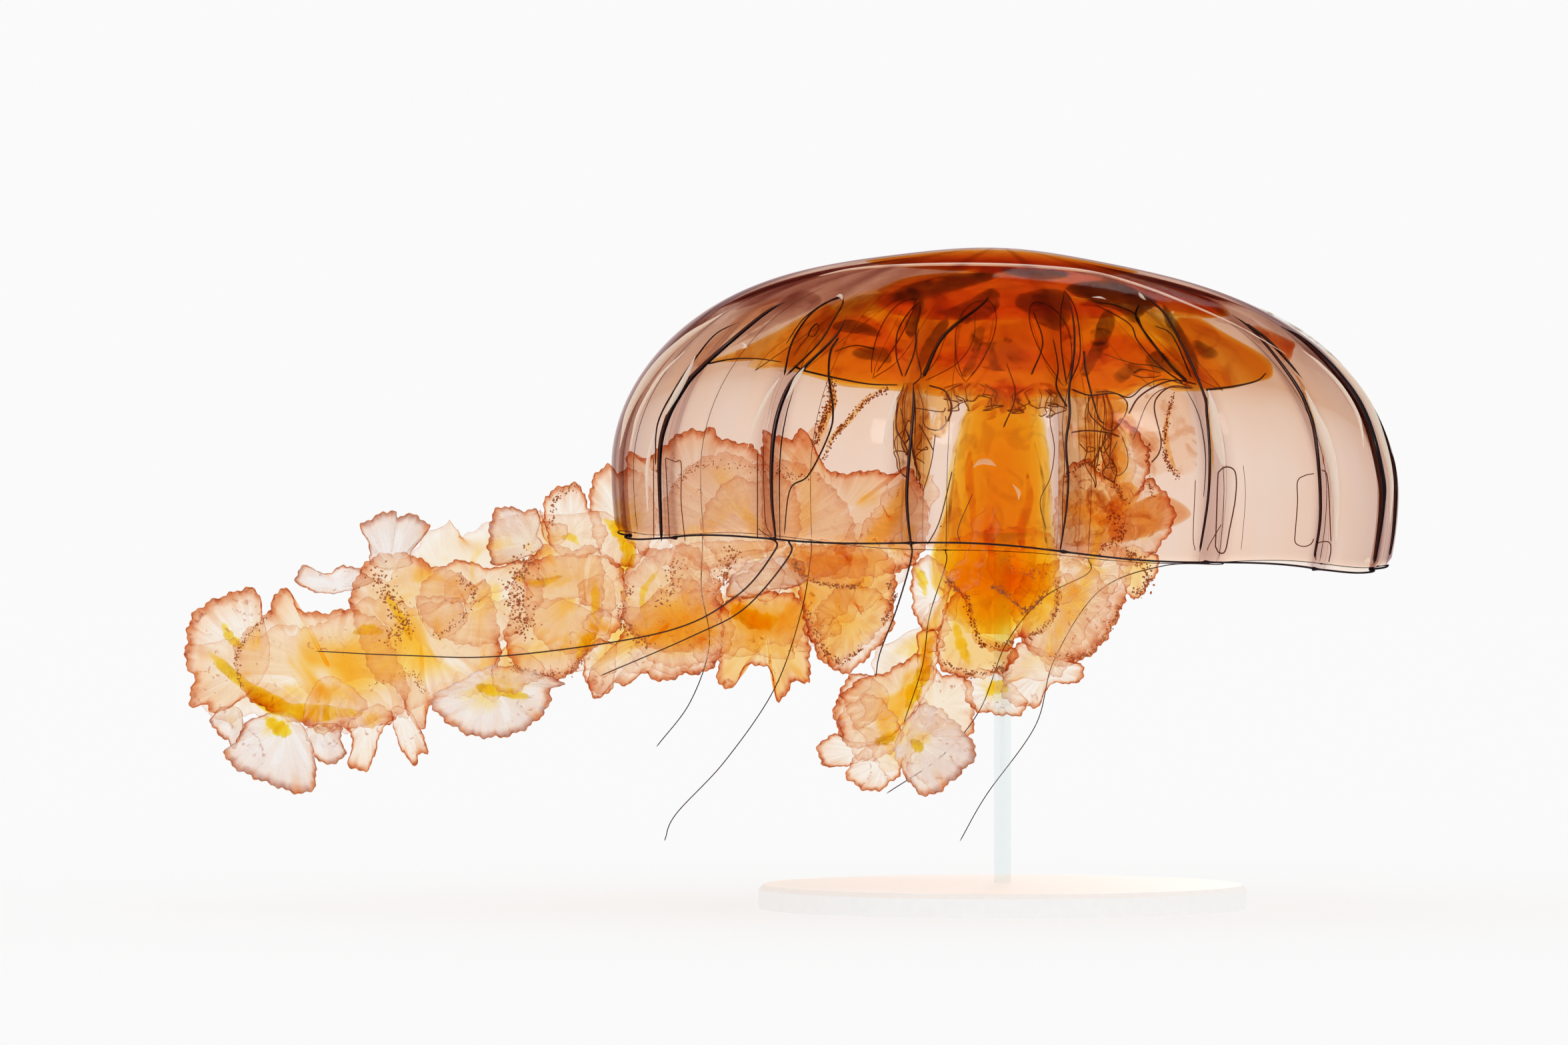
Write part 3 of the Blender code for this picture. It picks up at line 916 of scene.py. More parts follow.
PLEAT_STRANDS = (
    Strand([(-42, 143.5), (-44, 140), (-44.5, 134), (-43.5, 125.5), (-44.5, 119.5), (-49.5, 109.5),
        (-54, 106), (-55.5, 94.5)], 0.17, 4),
    Strand([(-74.5, 137.5), (-68.5, 138.5), (-62.5, 138.5), (-56, 137.5)], 0.13, 5),
    Strand([(-53, 136.5), (-49.5, 135), (-36, 132), (-27.5, 131.5)], 0.17, 5),
    Strand([(-21.5, 133.5), (-16.5, 143.5), (-7.5, 151), (-5, 153.5)], 0.3, 6),
    Strand([(-24, 131.5), (-22, 134), (-23, 140), (-22.5, 146)], 0.1, 5),
    Strand([(18, 140), (18.5, 134), (21, 124), (22.5, 122)], 0.17, 5),
    Strand([(13.5, 126), (11, 131), (11.5, 136), (10.5, 143)], 0.15, 5),
    Strand([(44.5, 133.5), (42.5, 139), (40, 144.5), (36, 146.5)], 0.12, 5),
    Strand([(43.5, 132.5), (40, 136), (35, 142.5), (31.5, 148.5), (32.5, 152)], 0.24, 6),
    Strand([(42.5, 132), (36.5, 136), (30, 137), (22, 139.5)], 0.09, 6),
    Strand([(48, 130.5), (55.5, 131.5), (61.5, 133), (64, 135)], 0.18, 5),
    Strand([(14.5, 130.5), (19, 129), (25, 129.5), (29, 128.5), (33, 131.5), (38, 133), (45, 131)], 0.12, 5),
    Strand([(-41, 154), (-46, 152), (-51, 148), (-55, 142)], 0.12, 4),
    Strand([(-33, 140.5), (-38, 141.5), (-43, 140)], 0.1, 8),
    Strand([(-49.5, 144), (-49, 145.5), (-47.5, 147), (-47, 146), (-48, 144), (-49.5, 144)], 0.11, 3.8),
    Strand([(-49.5, 144), (-51.5, 141.5), (-53, 139)], 0.07, 3.8),
    Strand([(5, 134), (8, 142), (6, 150)], 0.14, 9),
    Strand([(-2, 121), (1, 129), (-1, 137)], 0.1, 9),
)

LEAVES = (
    Leaf([(-55.5, 134), (-53.5, 142.5), (-49, 149.5), (-44, 153), (-41, 154)], [(-55, 134), (-47, 142),
        (-43, 148.5), (-41, 152), (-41, 154)], 4),
    Leaf([(-26.5, 133.5), (-28, 139), (-27.5, 145), (-24.5, 150), (-22, 152.5)], [(-26, 133.5), (-23.5, 140),
        (-23, 146), (-22, 150), (-22, 152.5)], 5, 0.15),
    Leaf([(13.5, 131.5), (12.5, 140), (12.5, 148.5), (14, 155.5)], [(14, 131.5), (17, 139), (16.5, 150),
        (14, 155.5)], 5, 0.14),
    Leaf([(42.5, 132), (36.5, 136.5), (31.5, 142.5), (29.5, 147), (21, 152)], [(43, 132.5), (34, 143.5),
        (31.5, 149), (27, 151.5), (21, 152.5)], 5, 0.16),
    Leaf([(30, 134.5), (32, 135.5), (35, 135), (37, 134.5)], [(30, 134), (32, 133.5), (35, 133.5),
        (37, 134)], 5, 0.1),
    Leaf([(-22, 133), (-18, 138), (-15, 145), (-9, 150)], [(-21, 132.5), (-13, 137), (-9, 143), (-8.5, 150)],
        8, 0.08),
)


SMOKE_EDGE = (165, 160, 155, 152.5, 150.5, 150.5, 150.5, 152, 156, 159, 160, 160, 158.5, 155, 152, 151.5,
    153, 152, 152, 152, 152)


class Stain(Enum):
    """The kinds of cloud and fold in the bell, and the painted highlight."""

    SMOKE = "smoke"
    ORANGE = "orange"
    UMBER = "umber"
    ROSE = "rose"
    HONEY = "honey"
    PAINTED_HIGHLIGHT = "milk"


STOMACH_EDGE = (137.7, 137.7, 138, 138.4, 138.4, 137.2, 135.4, 134, 132.4, 132, 131.6, 131.2, 130.4, 129.8,
    130, 130.4, 129.8, 129.4, 129.6, 130.2, 129.4, 129.4, 128.8, 132, 133, 131.2, 131.2, 131.8, 132.8, 134.6,
    137, 140)


@dataclass(frozen=True)
class Pane:
    """A cloud or fold on the front of the bell: its outline seen from -Y, its depth under the outside, its
    thickness and how far its edge fades, in millimetres."""

    stain: Stain
    outline: Points
    deep: float = 5.0
    thick: float = 1.0
    soft: float = 2.5


@dataclass(frozen=True)
class Streak:
    """A long streak on the front of the bell: its points and half widths seen from -Y, its depth and kind; by
    default a painted highlight just outside the skin.
    """

    points: Points
    halves: Sequence[float]
    deep: float = -0.15
    stain: Stain = Stain.PAINTED_HIGHLIGHT


SMOKE, ORANGE, UMBER, ROSE, HONEY, PAINTED_HIGHLIGHT = Stain

STAIN_FINISHES = {
    SMOKE: AmberFinish("smoke_stain", (190, 330, 370), (0.84, 0.74, 0.70), 0.5, 110),
    ORANGE: AmberFinish("orange_stain", (40, 300, 1100), (0.80, 0.52, 0.30), 0.55, 85),
    UMBER: AmberFinish("umber_stain", (400, 460, 600), (0.70, 0.60, 0.52), 0.8, 150),
    ROSE: AmberFinish("rose_stain", (45, 230, 430), (0.90, 0.72, 0.56), 0.6, 160),
    HONEY: AmberFinish("honey_stain", (40, 240, 700), (0.80, 0.54, 0.32), 0.7, 190),
    # Pale cream flesh that scatters light: the painted highlight of glints and bright bands.
    PAINTED_HIGHLIGHT: AmberFinish("painted_highlight_finish", (2, 10, 30), (1, 0.95, 0.90), 0.3, 160, (1, 0.93, 0.84), 0.62),
}

PANES = (
    Pane(ORANGE, [(-34, 152), (-28, 158), (-14, 160), (14, 161), (48, 155), (56, 150), (48, 149), (36, 150),
        (20, 148), (-20, 148)], 4, 1.8, 3.5),
    Pane(UMBER, [(-30, 154), (-22, 158), (-10, 160), (-2, 159), (-24, 152)], 5, 0.9),
    Pane(UMBER, [(-2, 161), (8, 161), (16, 160), (10, 158), (2, 159)], 5, 0.7, 1.6),
    Pane(ORANGE, [(-74, 138), (-66, 141), (-49, 150), (-44, 152), (-43, 147), (-50, 136), (-60, 138)], 6,
        0.9, 0.8),
    Pane(ORANGE, [(-51, 136), (-40, 132), (-33, 132), (-27, 131), (-25, 136), (-27, 142), (-33, 148),
        (-40, 149), (-46, 145), (-47, 139)], 6, 1.1, 0.8),
    Pane(ORANGE, [(-26, 131), (-13, 130), (-6, 131), (8, 129), (14, 131), (13, 138), (2, 141), (-12, 141),
        (-24, 138)], 7, 0.7, 3),
    Pane(ORANGE, [(14, 130), (25, 130), (29, 129), (33, 132), (44, 132), (46, 131), (44, 138), (36, 143),
        (24, 144), (15, 139)], 7, 1, 1.2),
    Pane(ORANGE, [(47, 131), (63, 133), (66, 135), (64, 139), (52, 146), (44, 150), (41, 145)], 6, 1.6, 0.8),
    Pane(ROSE, [(-78, 139), (-66, 150), (-56, 154), (-70, 143), (-76, 137)], 3, 0.4, 1),
    Pane(SMOKE, [(-75, 138), (-70, 141), (-52, 149), (-46, 153), (-50, 156), (-57, 153)], 5, 0.7, 1.2),
    Pane(SMOKE, [(-45, 139), (-45, 143), (-38, 148), (-24, 154), (-38, 154), (-46, 148), (-48, 142)], 5, 0.9,
        1.2),
    Pane(UMBER, [(-39, 139), (-36, 141), (-31, 141), (-29, 139), (-30, 137)], 7, 1.6, 0.8),
    Pane(UMBER, [(-25, 156), (-21, 155), (-20, 151), (-22, 148), (-24, 150)], 8, 0.9, 2),
    Pane(UMBER, [(-18, 150), (-14, 151), (-4, 156), (-2, 152), (-6, 148), (-12, 147)], 9, 0.9, 1.2),
    Pane(UMBER, [(2, 154), (12, 156), (16, 152), (12, 145), (3, 150)], 7, 1.1, 1.4),
    Pane(UMBER, [(-8, 141), (-3, 144), (3, 141), (5, 137), (-1, 135), (-7, 136)], 9, 0.5, 3.5),
    Pane(UMBER, [(14, 156), (26, 158), (37, 153), (34, 150), (31, 147), (27, 150)], 5, 1.3, 1),
    Pane(SMOKE, [(33, 158), (42, 157), (60, 150), (66, 144), (52, 148), (38, 152)], 4, 0.2, 2),
    Pane(UMBER, [(45, 142), (47, 143), (51, 141), (52, 139), (48, 138)], 6, 1.3, 1.5),
    Pane(UMBER, [(20, 145), (24, 148), (25, 143), (22, 138), (20, 141)], 8, 0.6, 2),
    Pane(ROSE, [(61, 147), (72, 143), (72, 141), (70, 138), (66, 142)], 3.4, 2, 0.8),
    Pane(SMOKE, [(50, 153), (65, 144), (72, 134), (62, 143), (54, 149)], 3, 0.2, 1.5),
    Pane(HONEY, [(-13, 131), (-11, 126), (-6, 123), (0, 125), (6, 123), (14, 131), (-6, 133)], 24, 0.8),
    Pane(UMBER, [(-23, 134), (-22, 140), (-19, 145), (-15, 149), (-16, 144)], 6.5, 0.9, 0.6),
    Pane(UMBER, [(-44, 146), (-40, 148), (-35, 147), (-31, 144), (-35, 144)], 6.5, 1.3, 0.7),
    Pane(UMBER, [(-26, 146), (-24, 150), (-21, 153), (-22, 148), (-24, 143)], 6.5, 1.4, 0.6),
    Pane(UMBER, [(33, 138), (37, 140), (43, 134), (40, 135), (36, 135)], 6.5, 1.4, 0.6),
    Pane(UMBER, [(17, 136), (20, 141), (22, 148), (25, 151), (26, 146), (19, 134)], 6.5, 1.1, 0.8),
    Pane(UMBER, [(39, 147), (42, 143), (46, 134), (46, 140), (39, 152)], 6, 1.2, 0.8),
    Pane(UMBER, [(-12, 134), (-9, 139), (-10, 144), (-6, 146), (-9, 135)], 8, 0.9, 0.9),
    Pane(UMBER, [(25, 134), (29, 137), (33, 136), (30, 134), (27, 132)], 7, 1, 0.8),
    Pane(HONEY, [(20, 130), (29, 128), (28, 124), (25, 121), (21, 122)], 24, 1.8, 0.6),
    Pane(HONEY, [(13, 131), (20, 130), (29, 127), (30, 119), (25, 104), (13, 97), (12, 122)], 22, 1.1, 1),
    Pane(HONEY, [(13, 104), (19, 106), (30, 103), (38, 105), (37, 96), (28, 93), (16, 92), (12, 94)], 20, 1,
        1.2),
    Pane(HONEY, [(15, 120), (20, 122), (25, 120), (27, 119), (20, 112)], 26, 0.8, 0.5),
    Pane(HONEY, [(27, 120), (29, 114), (29, 111), (26, 110), (25, 114)], 24, 1.4, 0.5),
    Pane(HONEY, [(20, 111), (24, 114), (27, 112), (29, 109), (26, 106)], 25, 0.7, 0.5),
    Pane(HONEY, [(18, 108), (24, 107), (30, 108), (32, 104), (24, 97), (20, 99)], 23, 2.2, 0.8),
    Pane(ROSE, [(36, 105), (45, 100), (35, 95), (26, 93), (25, 98)], 21, 2.4, 0.7),
    Pane(ROSE, [(29, 126), (37, 131), (42, 131), (45, 127), (46, 111), (38, 110), (34, 109), (29, 118)], 20,
        0.5, 1),
    Pane(ROSE, [(30, 121), (34, 121), (37, 118), (36, 113), (33, 111), (30, 114)], 18, 0.9, 0.8),
    Pane(HONEY, [(-28, 121), (-21, 106), (-19, 119), (-20, 126), (-23, 131), (-26, 131)], 24, 1.8, 0.7),
    Pane(HONEY, [(-20, 120), (-16, 119), (-14, 126), (-16, 130), (-20, 131), (-22, 127), (-19, 126),
        (-17, 123)], 25, 1.2, 0.5),
    Pane(ROSE, [(-54, 113), (-48, 122), (-44, 121), (-48, 111), (-52, 109)], 8, 1, 0.6),
    Pane(ROSE, [(-14, 109), (-17, 97), (-21, 92), (-13, 93), (-12, 100)], 12, 1.2, 1),
)

# Streaks of the default kind are painted highlights: bright bands beside the grooves and glints on the
# manubrium, the crown and the margin.
STREAKS = (
    Streak([(-8.5, 111.5), (-6.5, 113), (-4.5, 113), (-2.5, 112)], (0.2, 0.7, 0.8, 0.3), 60),
    Streak([(1.5, 107.5), (3, 105.5), (3, 103.5)], (0.2, 0.5, 0.2), 60),
    Streak([(-13, 118), (-9, 126), (-2, 128.5), (5, 127.5), (10, 122)], (0.3, 0.7, 0.6, 0.7, 0.3), 40,
        HONEY),
    Streak([(-12.5, 118), (-13.5, 108), (-14.5, 98), (-15.5, 88)], (0.1, 0.4, 0.4, 0.2), 52, UMBER),
    Streak([(6.5, 119), (9, 108), (9, 99), (10.5, 88)], (0.1, 0.45, 0.5, 0.3), 52, UMBER),
    Streak([(-9, 120), (-9.5, 110), (-8.5, 100), (-9.5, 90)], (0.2, 1.3, 0.9, 0.4), 52, HONEY),
    Streak([(4.5, 113), (5.5, 104), (3.5, 96), (4.5, 88)], (0.2, 1.2, 1.4, 0.5), 52, HONEY),
    Streak([(-3, 100), (-4.5, 94), (-3, 87)], (0.3, 1.6, 0.8), 52, HONEY),
    Streak([(48.5, 130.5), (49.5, 125), (50.5, 118), (52, 111.5)], (0.4, 1.1, 1.4, 1.3)),
    Streak([(73.5, 131), (75.5, 126), (78, 119.5), (80, 112.5), (81, 104), (81, 92.5)],
        (0.4, 0.8, 1.4, 1.2, 1, 0.9)),
    Streak([(72.5, 132.5), (75, 125.5), (77.5, 118), (78, 111)], (0.2, 0.4, 0.4, 0.3), 2.2, HONEY),
    Streak([(48, 130.5), (48.5, 124), (49, 116), (50, 108)], (0.3, 0.45, 0.4, 0.3), 2.2, HONEY),
    Streak([(-85, 124.5), (-82.5, 129.5), (-80, 134), (-77.5, 139.5)], (0.4, 0.8, 0.7, 0.3)),
    Streak([(-89.5, 100), (-89.5, 112), (-87.5, 121)], (0.3, 0.5, 0.4)),
    Streak([(-97, 116), (-94.5, 126), (-88.5, 136), (-80.5, 144), (-70.5, 150.5)],
        (0.3, 0.9, 1.1, 0.9, 0.4)),
    Streak([(-94, 116), (-92, 125), (-86.5, 134.5), (-80, 141)], (0.2, 0.45, 0.4, 0.2)),
    Streak([(-64.5, 116), (-62.5, 122.5), (-59.5, 129), (-56.5, 133.5)], (0.2, 0.5, 0.5, 0.3)),
    Streak([(-55, 128), (-52.5, 133), (-50.5, 136)], (0.3, 0.6, 0.3)),
    Streak([(-31.5, 112), (-30.5, 119), (-29, 125.5), (-28, 130)], (0.3, 0.9, 0.8, 0.3)),
    Streak([(96.5, 97), (97, 108), (95, 118), (91.5, 128), (85.5, 136.5), (79.5, 142.5)],
        (0.4, 0.7, 0.8, 0.9, 0.9, 0.4)),
    Streak([(89, 116), (88, 124), (84, 131.5), (78.5, 137.5), (74, 141)], (0.2, 0.5, 0.5, 0.4, 0.2)),
    Streak([(-98, 112), (-96, 122), (-90.5, 134), (-82, 143.5), (-72, 150.5), (-60, 156.5)],
        (0.2, 0.5, 0.6, 0.7, 0.7, 0.4), 0.8, SMOKE),
    Streak([(91.5, 113), (90, 121), (86, 129.5), (80, 137.5), (73.5, 143.5)], (0.2, 0.5, 0.7, 0.7, 0.4), 2.4,
        SMOKE),
    Streak([(98.5, 108), (97.5, 116), (94, 126), (88.5, 135), (80, 143.5), (70, 150), (58, 155.5)],
        (0.2, 0.35, 0.35, 0.4, 0.4, 0.35, 0.2), 0.6, UMBER),
    Streak([(76, 120), (75, 126), (73, 132), (69, 138)], (0.15, 0.3, 0.35, 0.2), 0.8, ORANGE),
    Streak([(47.5, 100), (49, 112), (49, 122), (48, 130)], (0.15, 0.35, 0.4, 0.3), 0.8, ORANGE),
    Streak([(32.5, 155), (33, 154), (34, 153)], (0.2, 0.4, 0.2)),
    Streak([(-44, 133.5), (-43.5, 128), (-45.5, 123), (-47.5, 117)], (0.7, 1.2, 1.2, 0.8), 18, HONEY),
    Streak([(-30.5, 131.5), (-35.5, 128), (-39.5, 123), (-43.5, 119), (-46, 113)], (0.4, 0.8, 0.8, 0.8, 0.4),
        18, HONEY),
    Streak([(41, 130), (38.5, 121), (39.5, 114), (42, 109)], (0.4, 0.8, 0.8, 0.4), 20, HONEY),
    Streak([(20.5, 153.5), (22.5, 153.5), (24, 153)], (0.1, 0.25, 0.1)),
    Streak([(-42.5, 154), (-41.5, 154), (-41, 153)], (0.2, 0.5, 0.2)),
    Streak([(-66, 142.5), (-65, 141.5), (-66, 141)], (0.1, 0.4, 0.1)),
    Streak([(89, 88), (90, 88.5), (90.5, 88)], (0.5, 0.7, 0.5)),
)

POCKET_LINES = (
    Strand([(50, 92), (50.5, 108), (51, 110.5), (53, 111.5), (55, 110), (55, 104), (53.5, 96), (52.5, 91),
        (51, 90.5), (50, 92)], 0.13, 2.2),
    Strand([(51.5, 97.5), (48.5, 92.5), (48, 91)], 0.09, 2.2),
    Strand([(75.5, 110), (73, 109.5), (71, 108), (71, 103), (70.5, 96), (70.5, 93), (72.5, 92), (74.5, 92.5),
        (75.5, 94)], 0.1, 2.4),
    Strand([(76, 88.5), (76, 92), (77, 93), (79.5, 93), (80, 91), (79.5, 88)], 0.1, 2.2),
    Strand([(80, 93), (79, 108.5), (77.5, 111)], 0.11, 2.4),
    Strand([(-88, 93.5), (-88, 104), (-88, 114)], 0.1, 2.2),
    Strand([(-85, 114), (-84.5, 105), (-84, 94)], 0.09, 2.4),
    Strand([(-85, 114), (-82.5, 113), (-81, 112.5), (-81, 103), (-80, 93)], 0.09, 2.4),
    Strand([(-62, 94), (-62, 104), (-62, 115)], 0.11, 2.4),
    Strand([(-60.5, 117), (-60.5, 108), (-60, 98), (-58.5, 94.5)], 0.08, 2.4),
    Strand([(-62, 96.5), (-60, 95), (-58, 94)], 0.09, 2.2),
    Strand([(45, 108.5), (44.5, 95), (45, 91)], 0.08, 4),
    Strand([(57, 112), (57.5, 104), (56.5, 91)], 0.05, 2),
    Strand([(-20.5, 92.5), (-17.5, 98.5), (-14.5, 110.5)], 0.12, 9),
    Strand([(-12.5, 93), (-13, 96.5), (-9.5, 105)], 0.09, 9),
    Strand([(8.5, 96), (7, 103), (9.5, 109), (10.5, 116), (9.5, 123), (10, 130.5)], 0.09, 12),
    Strand([(14, 131), (12.5, 122), (13, 113), (12.5, 104), (12.5, 94)], 0.08, 12),
    Strand([(46.5, 132), (41, 133), (36, 131.5), (31.5, 128.5), (29, 124.5)], 0.16, 14),
    Strand([(45.5, 131), (40.5, 131.5), (37, 129.5), (35.5, 126), (37, 118.5), (36.5, 115), (34.5, 112.5)],
        0.14, 15),
    Strand([(44.5, 131), (38.5, 131), (34, 127.5), (30, 118)], 0.08, 16),
    Strand([(15, 120), (19, 120.5), (24, 120), (27, 119)], 0.16, 22),
    Strand([(19.5, 129.5), (19.5, 125), (22, 122), (25, 120.5), (28, 123.5), (29, 127.5), (25.5, 130),
        (21, 130)], 0.12, 22),
    Strand([(25, 120), (22.5, 116.5), (20, 112.5)], 0.12, 22),
    Strand([(27.5, 119.5), (29, 114.5), (28.5, 111), (26, 109.5), (24.5, 113.5), (26.5, 118)], 0.08, 22),
    Strand([(-27.5, 127.5), (-28, 121), (-25.5, 116), (-25, 111)], 0.16, 12),
    Strand([(-20, 131.5), (-16, 130), (-14.5, 126), (-15.5, 122.5)], 0.18, 12),
    Strand([(-23.5, 126), (-17, 125), (-16, 126)], 0.1, 13),
    Strand([(-22.5, 122), (-20.5, 118.5), (-19, 115.5)], 0.13, 13),
    Strand([(-21.5, 125), (-21, 121.5), (-18, 120.5), (-16, 122), (-16, 124)], 0.1, 13),
    Strand([(-27, 126), (-25.5, 120), (-23.5, 114), (-22, 106)], 0.1, 13),
    Strand([(-18.5, 119.5), (-19.5, 112.5), (-21.5, 105.5)], 0.1, 13),
)


@dataclass
class Bell:
    """The bell's clear skin, smoky crown, dark strands, rim and the folds that hold the stomach."""

    form: BellForm
    columns_a_panel: int = 22
    rows: int = 66
    skin_depth: float = 1.0 * MM
    skin_top: float = 0.28 * MM
    rim_radius: float = 0.27 * MM
    node_radius: float = 0.30 * MM
    rim_steps: int = 640
    crown_foot: float = 12 * MM
    crown_wall: float = 1.3 * MM
    crown_swell: float = 19.5 * MM
    core_reach: float = 35 * MM
    core_sag: float = 1.5 * MM
    veil_low: float = 40 * MM
    veil_top: float = 19 * MM
    veil_fading: float = 40 * MM
    veil_under: float = 1.15 * MM
    veil_front: float = 1.0 * MM
    veil_back: float = 0.5 * MM
    fine_strand: float = 0.10 * MM
    fold_depth: float = 3.0 * MM
    # Points of the painted highlight along the fold at the foot of the boss, seen from -Y in millimetres.
    crease_highlight: Points = ((-47, 159.6), (-38, 161.4), (-24, 162.2), (-6, 162.3), (10, 161.6), (22, 160.2),
        (34, 156.6), (46, 151.8), (58, 146.4), (70, 139.5))

    def thick(self, share: float) -> float:
        """Thickness of the skin, which thins towards the top."""
        return self.skin_depth + (self.skin_top - self.skin_depth) * smooth_step((share - 0.40) / 0.30)

    def revolve(self, name: str, profile: Points, columns: int,
                finish: Union[CrownFinish, AmberFinish]) -> None:
        """Turns a profile from axis to axis into a closed piece of smoky jelly.

        Args:
            name: the piece's name.
            profile: radii and heights.
            columns: faces round it.
            finish: its finish.
        """
        last = len(profile) - 1

        def place(u: float, v: float) -> Vector:
            """The turned shape.

            Args:
                u: round the axis.
                v: along the profile.

            Returns:
                The point.
            """
            index = round(v * last)
            radius, height = profile[index]
            return self.form.place(tau * u, radius if 0 < index < last else 0, height)

        model = Model()
        model.sheet(columns, last, place, weld=True)
        model.finish(name, finish.make(), "bell_smoky")

    def under_skin(self, edge: float, steps: int, gap: float) -> list[tuple[float, float]]:
        """A profile under the skin, from the top down.

        Args:
            edge: the share of the outline at which they end.
            steps: how many steps they take.
            gap: how far off the skin they stay.

        Returns:
            The radii and heights.
        """
        profile = []
        for step in range(steps + 1):
            share = 1 - (1 - edge) * step / steps
            radius, height, inward, up = self.form.outline(share)
            under = self.thick(share) + gap
            profile.append((max(0, radius + inward * under), height + up * under))
        return profile

    def build_skin(self) -> None:
        """The clear outer skin, one closed shell that stands for the crown and the panels."""
        form = self.form
        model = Model()

        def place(u: float, v: float) -> Vector:
            """The outside and the inside of the shell.

            Args:
                u: round the bell.
                v: outside over a half, inside below it.

            Returns:
                The point.
            """
            angle = form.first_groove + tau * u
            share = abs(2 * v - 1)
            return form.skin(angle, share, 0.0 if v > 0.5 else self.thick(share))

        model.sheet(self.columns_a_panel * form.panels, 2 * self.rows, place, weld=False)
        model.fold_map(form.panels)
        bmesh.ops.remove_doubles(model.shape, verts=model.shape.verts, dist=WELD)
        panels = [f"panel_{index + 1:02d}" for index in range(form.panels)]
        model.finish("bell_skin", BellSkinFinish().make(), "bell_clear", ["crown", *panels])

    def build_crown(self) -> None:
        """The smoky jelly between the skin and the stomach, thinning towards the margin."""
        form = self.form
        profile = self.under_skin(form.share_at(self.crown_foot), 40, 0.1 * MM)
        for step in range(1, 13):
            height = self.crown_foot + (form.floor - self.crown_foot) * step / 12
            thick = self.crown_wall + self.crown_swell * (height / form.floor) ** 6
            profile.append((form.outer_radius(height) - thick, height))
        for step in range(1, 21):
            radius = form.stomach_radius * cos(pi / 2 * step / 20)
            profile.append((radius * 1.004, form.stomach_height(radius) + 0.4 * MM))
        self.revolve("crown_jelly", profile, 160, CrownFinish())

    def build_veil(self) -> None:
        """The smoky veil under the skin of the crown, whose lower edge climbs towards the middle."""
        form = self.form
        model = Model()
        low, high = form.share_at(self.veil_low), form.share_at_radius(self.veil_top)
        fading = form.share_at_radius(self.veil_fading)

        def place(u: float, v: float) -> Vector:
            """The outside and the inside of the shell.

            Args:
                u: round the bell.
                v: outside over a half, inside below it.

            Returns:
                The point.
            """
            angle = tau * u
            share = low + (high - low) * abs(2 * v - 1)
            outside = form.skin(angle, share, self.veil_under)
            if v > 0.5:
                return outside
            ends = smooth_step((share - low) / 0.02) * smooth_step((high - share) / (high - fading))
            over = outside.z / MM - eased(SMOKE_EDGE, (outside.x / MM + 100) / 200)
            over += 1.2 * sin(17 * angle + 3) + 0.7 * sin(41 * angle)
            grown = smooth_step(over / 3.5) * (1 - 0.75 * smooth_step((over - 9) / 6))
            grown *= 1 + 0.25 * sin(29 * angle + 9 * share) * smooth_step(over / 6)
            depth = (self.veil_front if outside.y < 0 else self.veil_back) * grown
            return form.skin(angle, share, self.veil_under + (0.04 * MM + depth) * ends)

        model.sheet(400, 72, place, weld=True)
        finish = CrownFinish("smoky_veil", (82, 150, 165), (0.95, 0.91, 0.89))
        model.finish("crown_veil", finish.make(), "bell_smoky")

    def build_core(self) -> None:
        """The lens of amber under the boss."""
        profile = self.under_skin(self.form.share_at_radius(self.core_reach), 24, 0.2 * MM)
        rim, rim_height = profile[-1]
        for step in range(1, 13):
            turn = pi / 2 * step / 12
            profile.append((rim * cos(turn), rim_height - self.core_sag * sin(turn)))
        self.revolve("crown_amber", profile, 96, AmberFinish("crown_amber", (10.5, 54, 160), blots=0.35))

    def drawn(self, points: Points, deep: float, count: int) -> list[Vector]:
        """A path of count points on the front of the bell, at a depth in millimetres, through points."""
        flat = smooth_path([(x * MM, 0, z * MM) for x, z in points], count)
        return [self.form.front(point.x, point.z, deep * MM) for point in flat]

    def build_strands(self) -> None:
        """The dark strands of the grooves, with fine ones in the grooves of the far half."""
        form = self.form
        model = Model()
        for strand in GROOVE_STRANDS:

            def radius(u: float) -> float:
                """Widest half-way up."""
                swell = strand.foot + (1 - strand.foot) * sin(pi * min(1, 1.1 * u))
                return 1.3 * strand.half * MM * max(swell * smooth_step((1.02 - u) / 0.15), 0.12)

            model.tube(self.drawn(strand.points, strand.deep, 64), radius, 8)
        for angle in map(form.groove, range(form.panels)):
            if cos(angle) <= -0.25:
                path = [form.skin(angle, 0.60 * step / 48, 1.1 * MM) for step in range(49)]
                model.tube(path, lambda u: self.fine_strand * (1 - 0.6 * u))
        model.finish("groove_strands", StrandFinish("groove_strand").make(), "bell_clear")

    def build_pleats(self) -> None:
        """The fine pleats that meet at the heads of the grooves, and the leaf-shaped folds."""
        pleats, leaves = Model(), Model()
        for strand in PLEAT_STRANDS:
            path = self.drawn(strand.points, strand.deep, 48)
            pleats.tube(path, lambda u: strand.half * MM * (2.0 - 1.1 * u))
        for leaf in LEAVES:
            left, right = (self.drawn(edge, leaf.deep, 33) for edge in (leaf.left, leaf.right))

            def place(u: float, v: float) -> Vector:
                """The leaf, with a slight swell.

                Args:
                    u: along its edges.
                    v: from the left edge to the right one.

                Returns:
                    The point.
                """
                index = round(u * 32)
                swell = 0.18 * (right[index] - left[index]).length * sin(pi * v)
                return left[index].lerp(right[index], v) - Vector((0, swell, 0))

            leaves.sheet(32, 6, place)
            for edge in (left, right):
                pleats.tube(edge, lambda u: leaf.outline * MM * (1.5 - 0.6 * u))
        dark = StrandFinish("pleat_strand", dark=(0.03, 0.008, 0.004), edge=(0.20, 0.05, 0.01))
        pleats.finish("pleat_strands", dark.make(), "bell_smoky")
        fill = AmberFinish("pleat_leaves", (60, 210, 420), (0.74, 0.50, 0.36), 0.6, 150)
        leaves.finish("pleat_leaves", fill.make(), "bell_smoky", thickness=0.5 * MM)

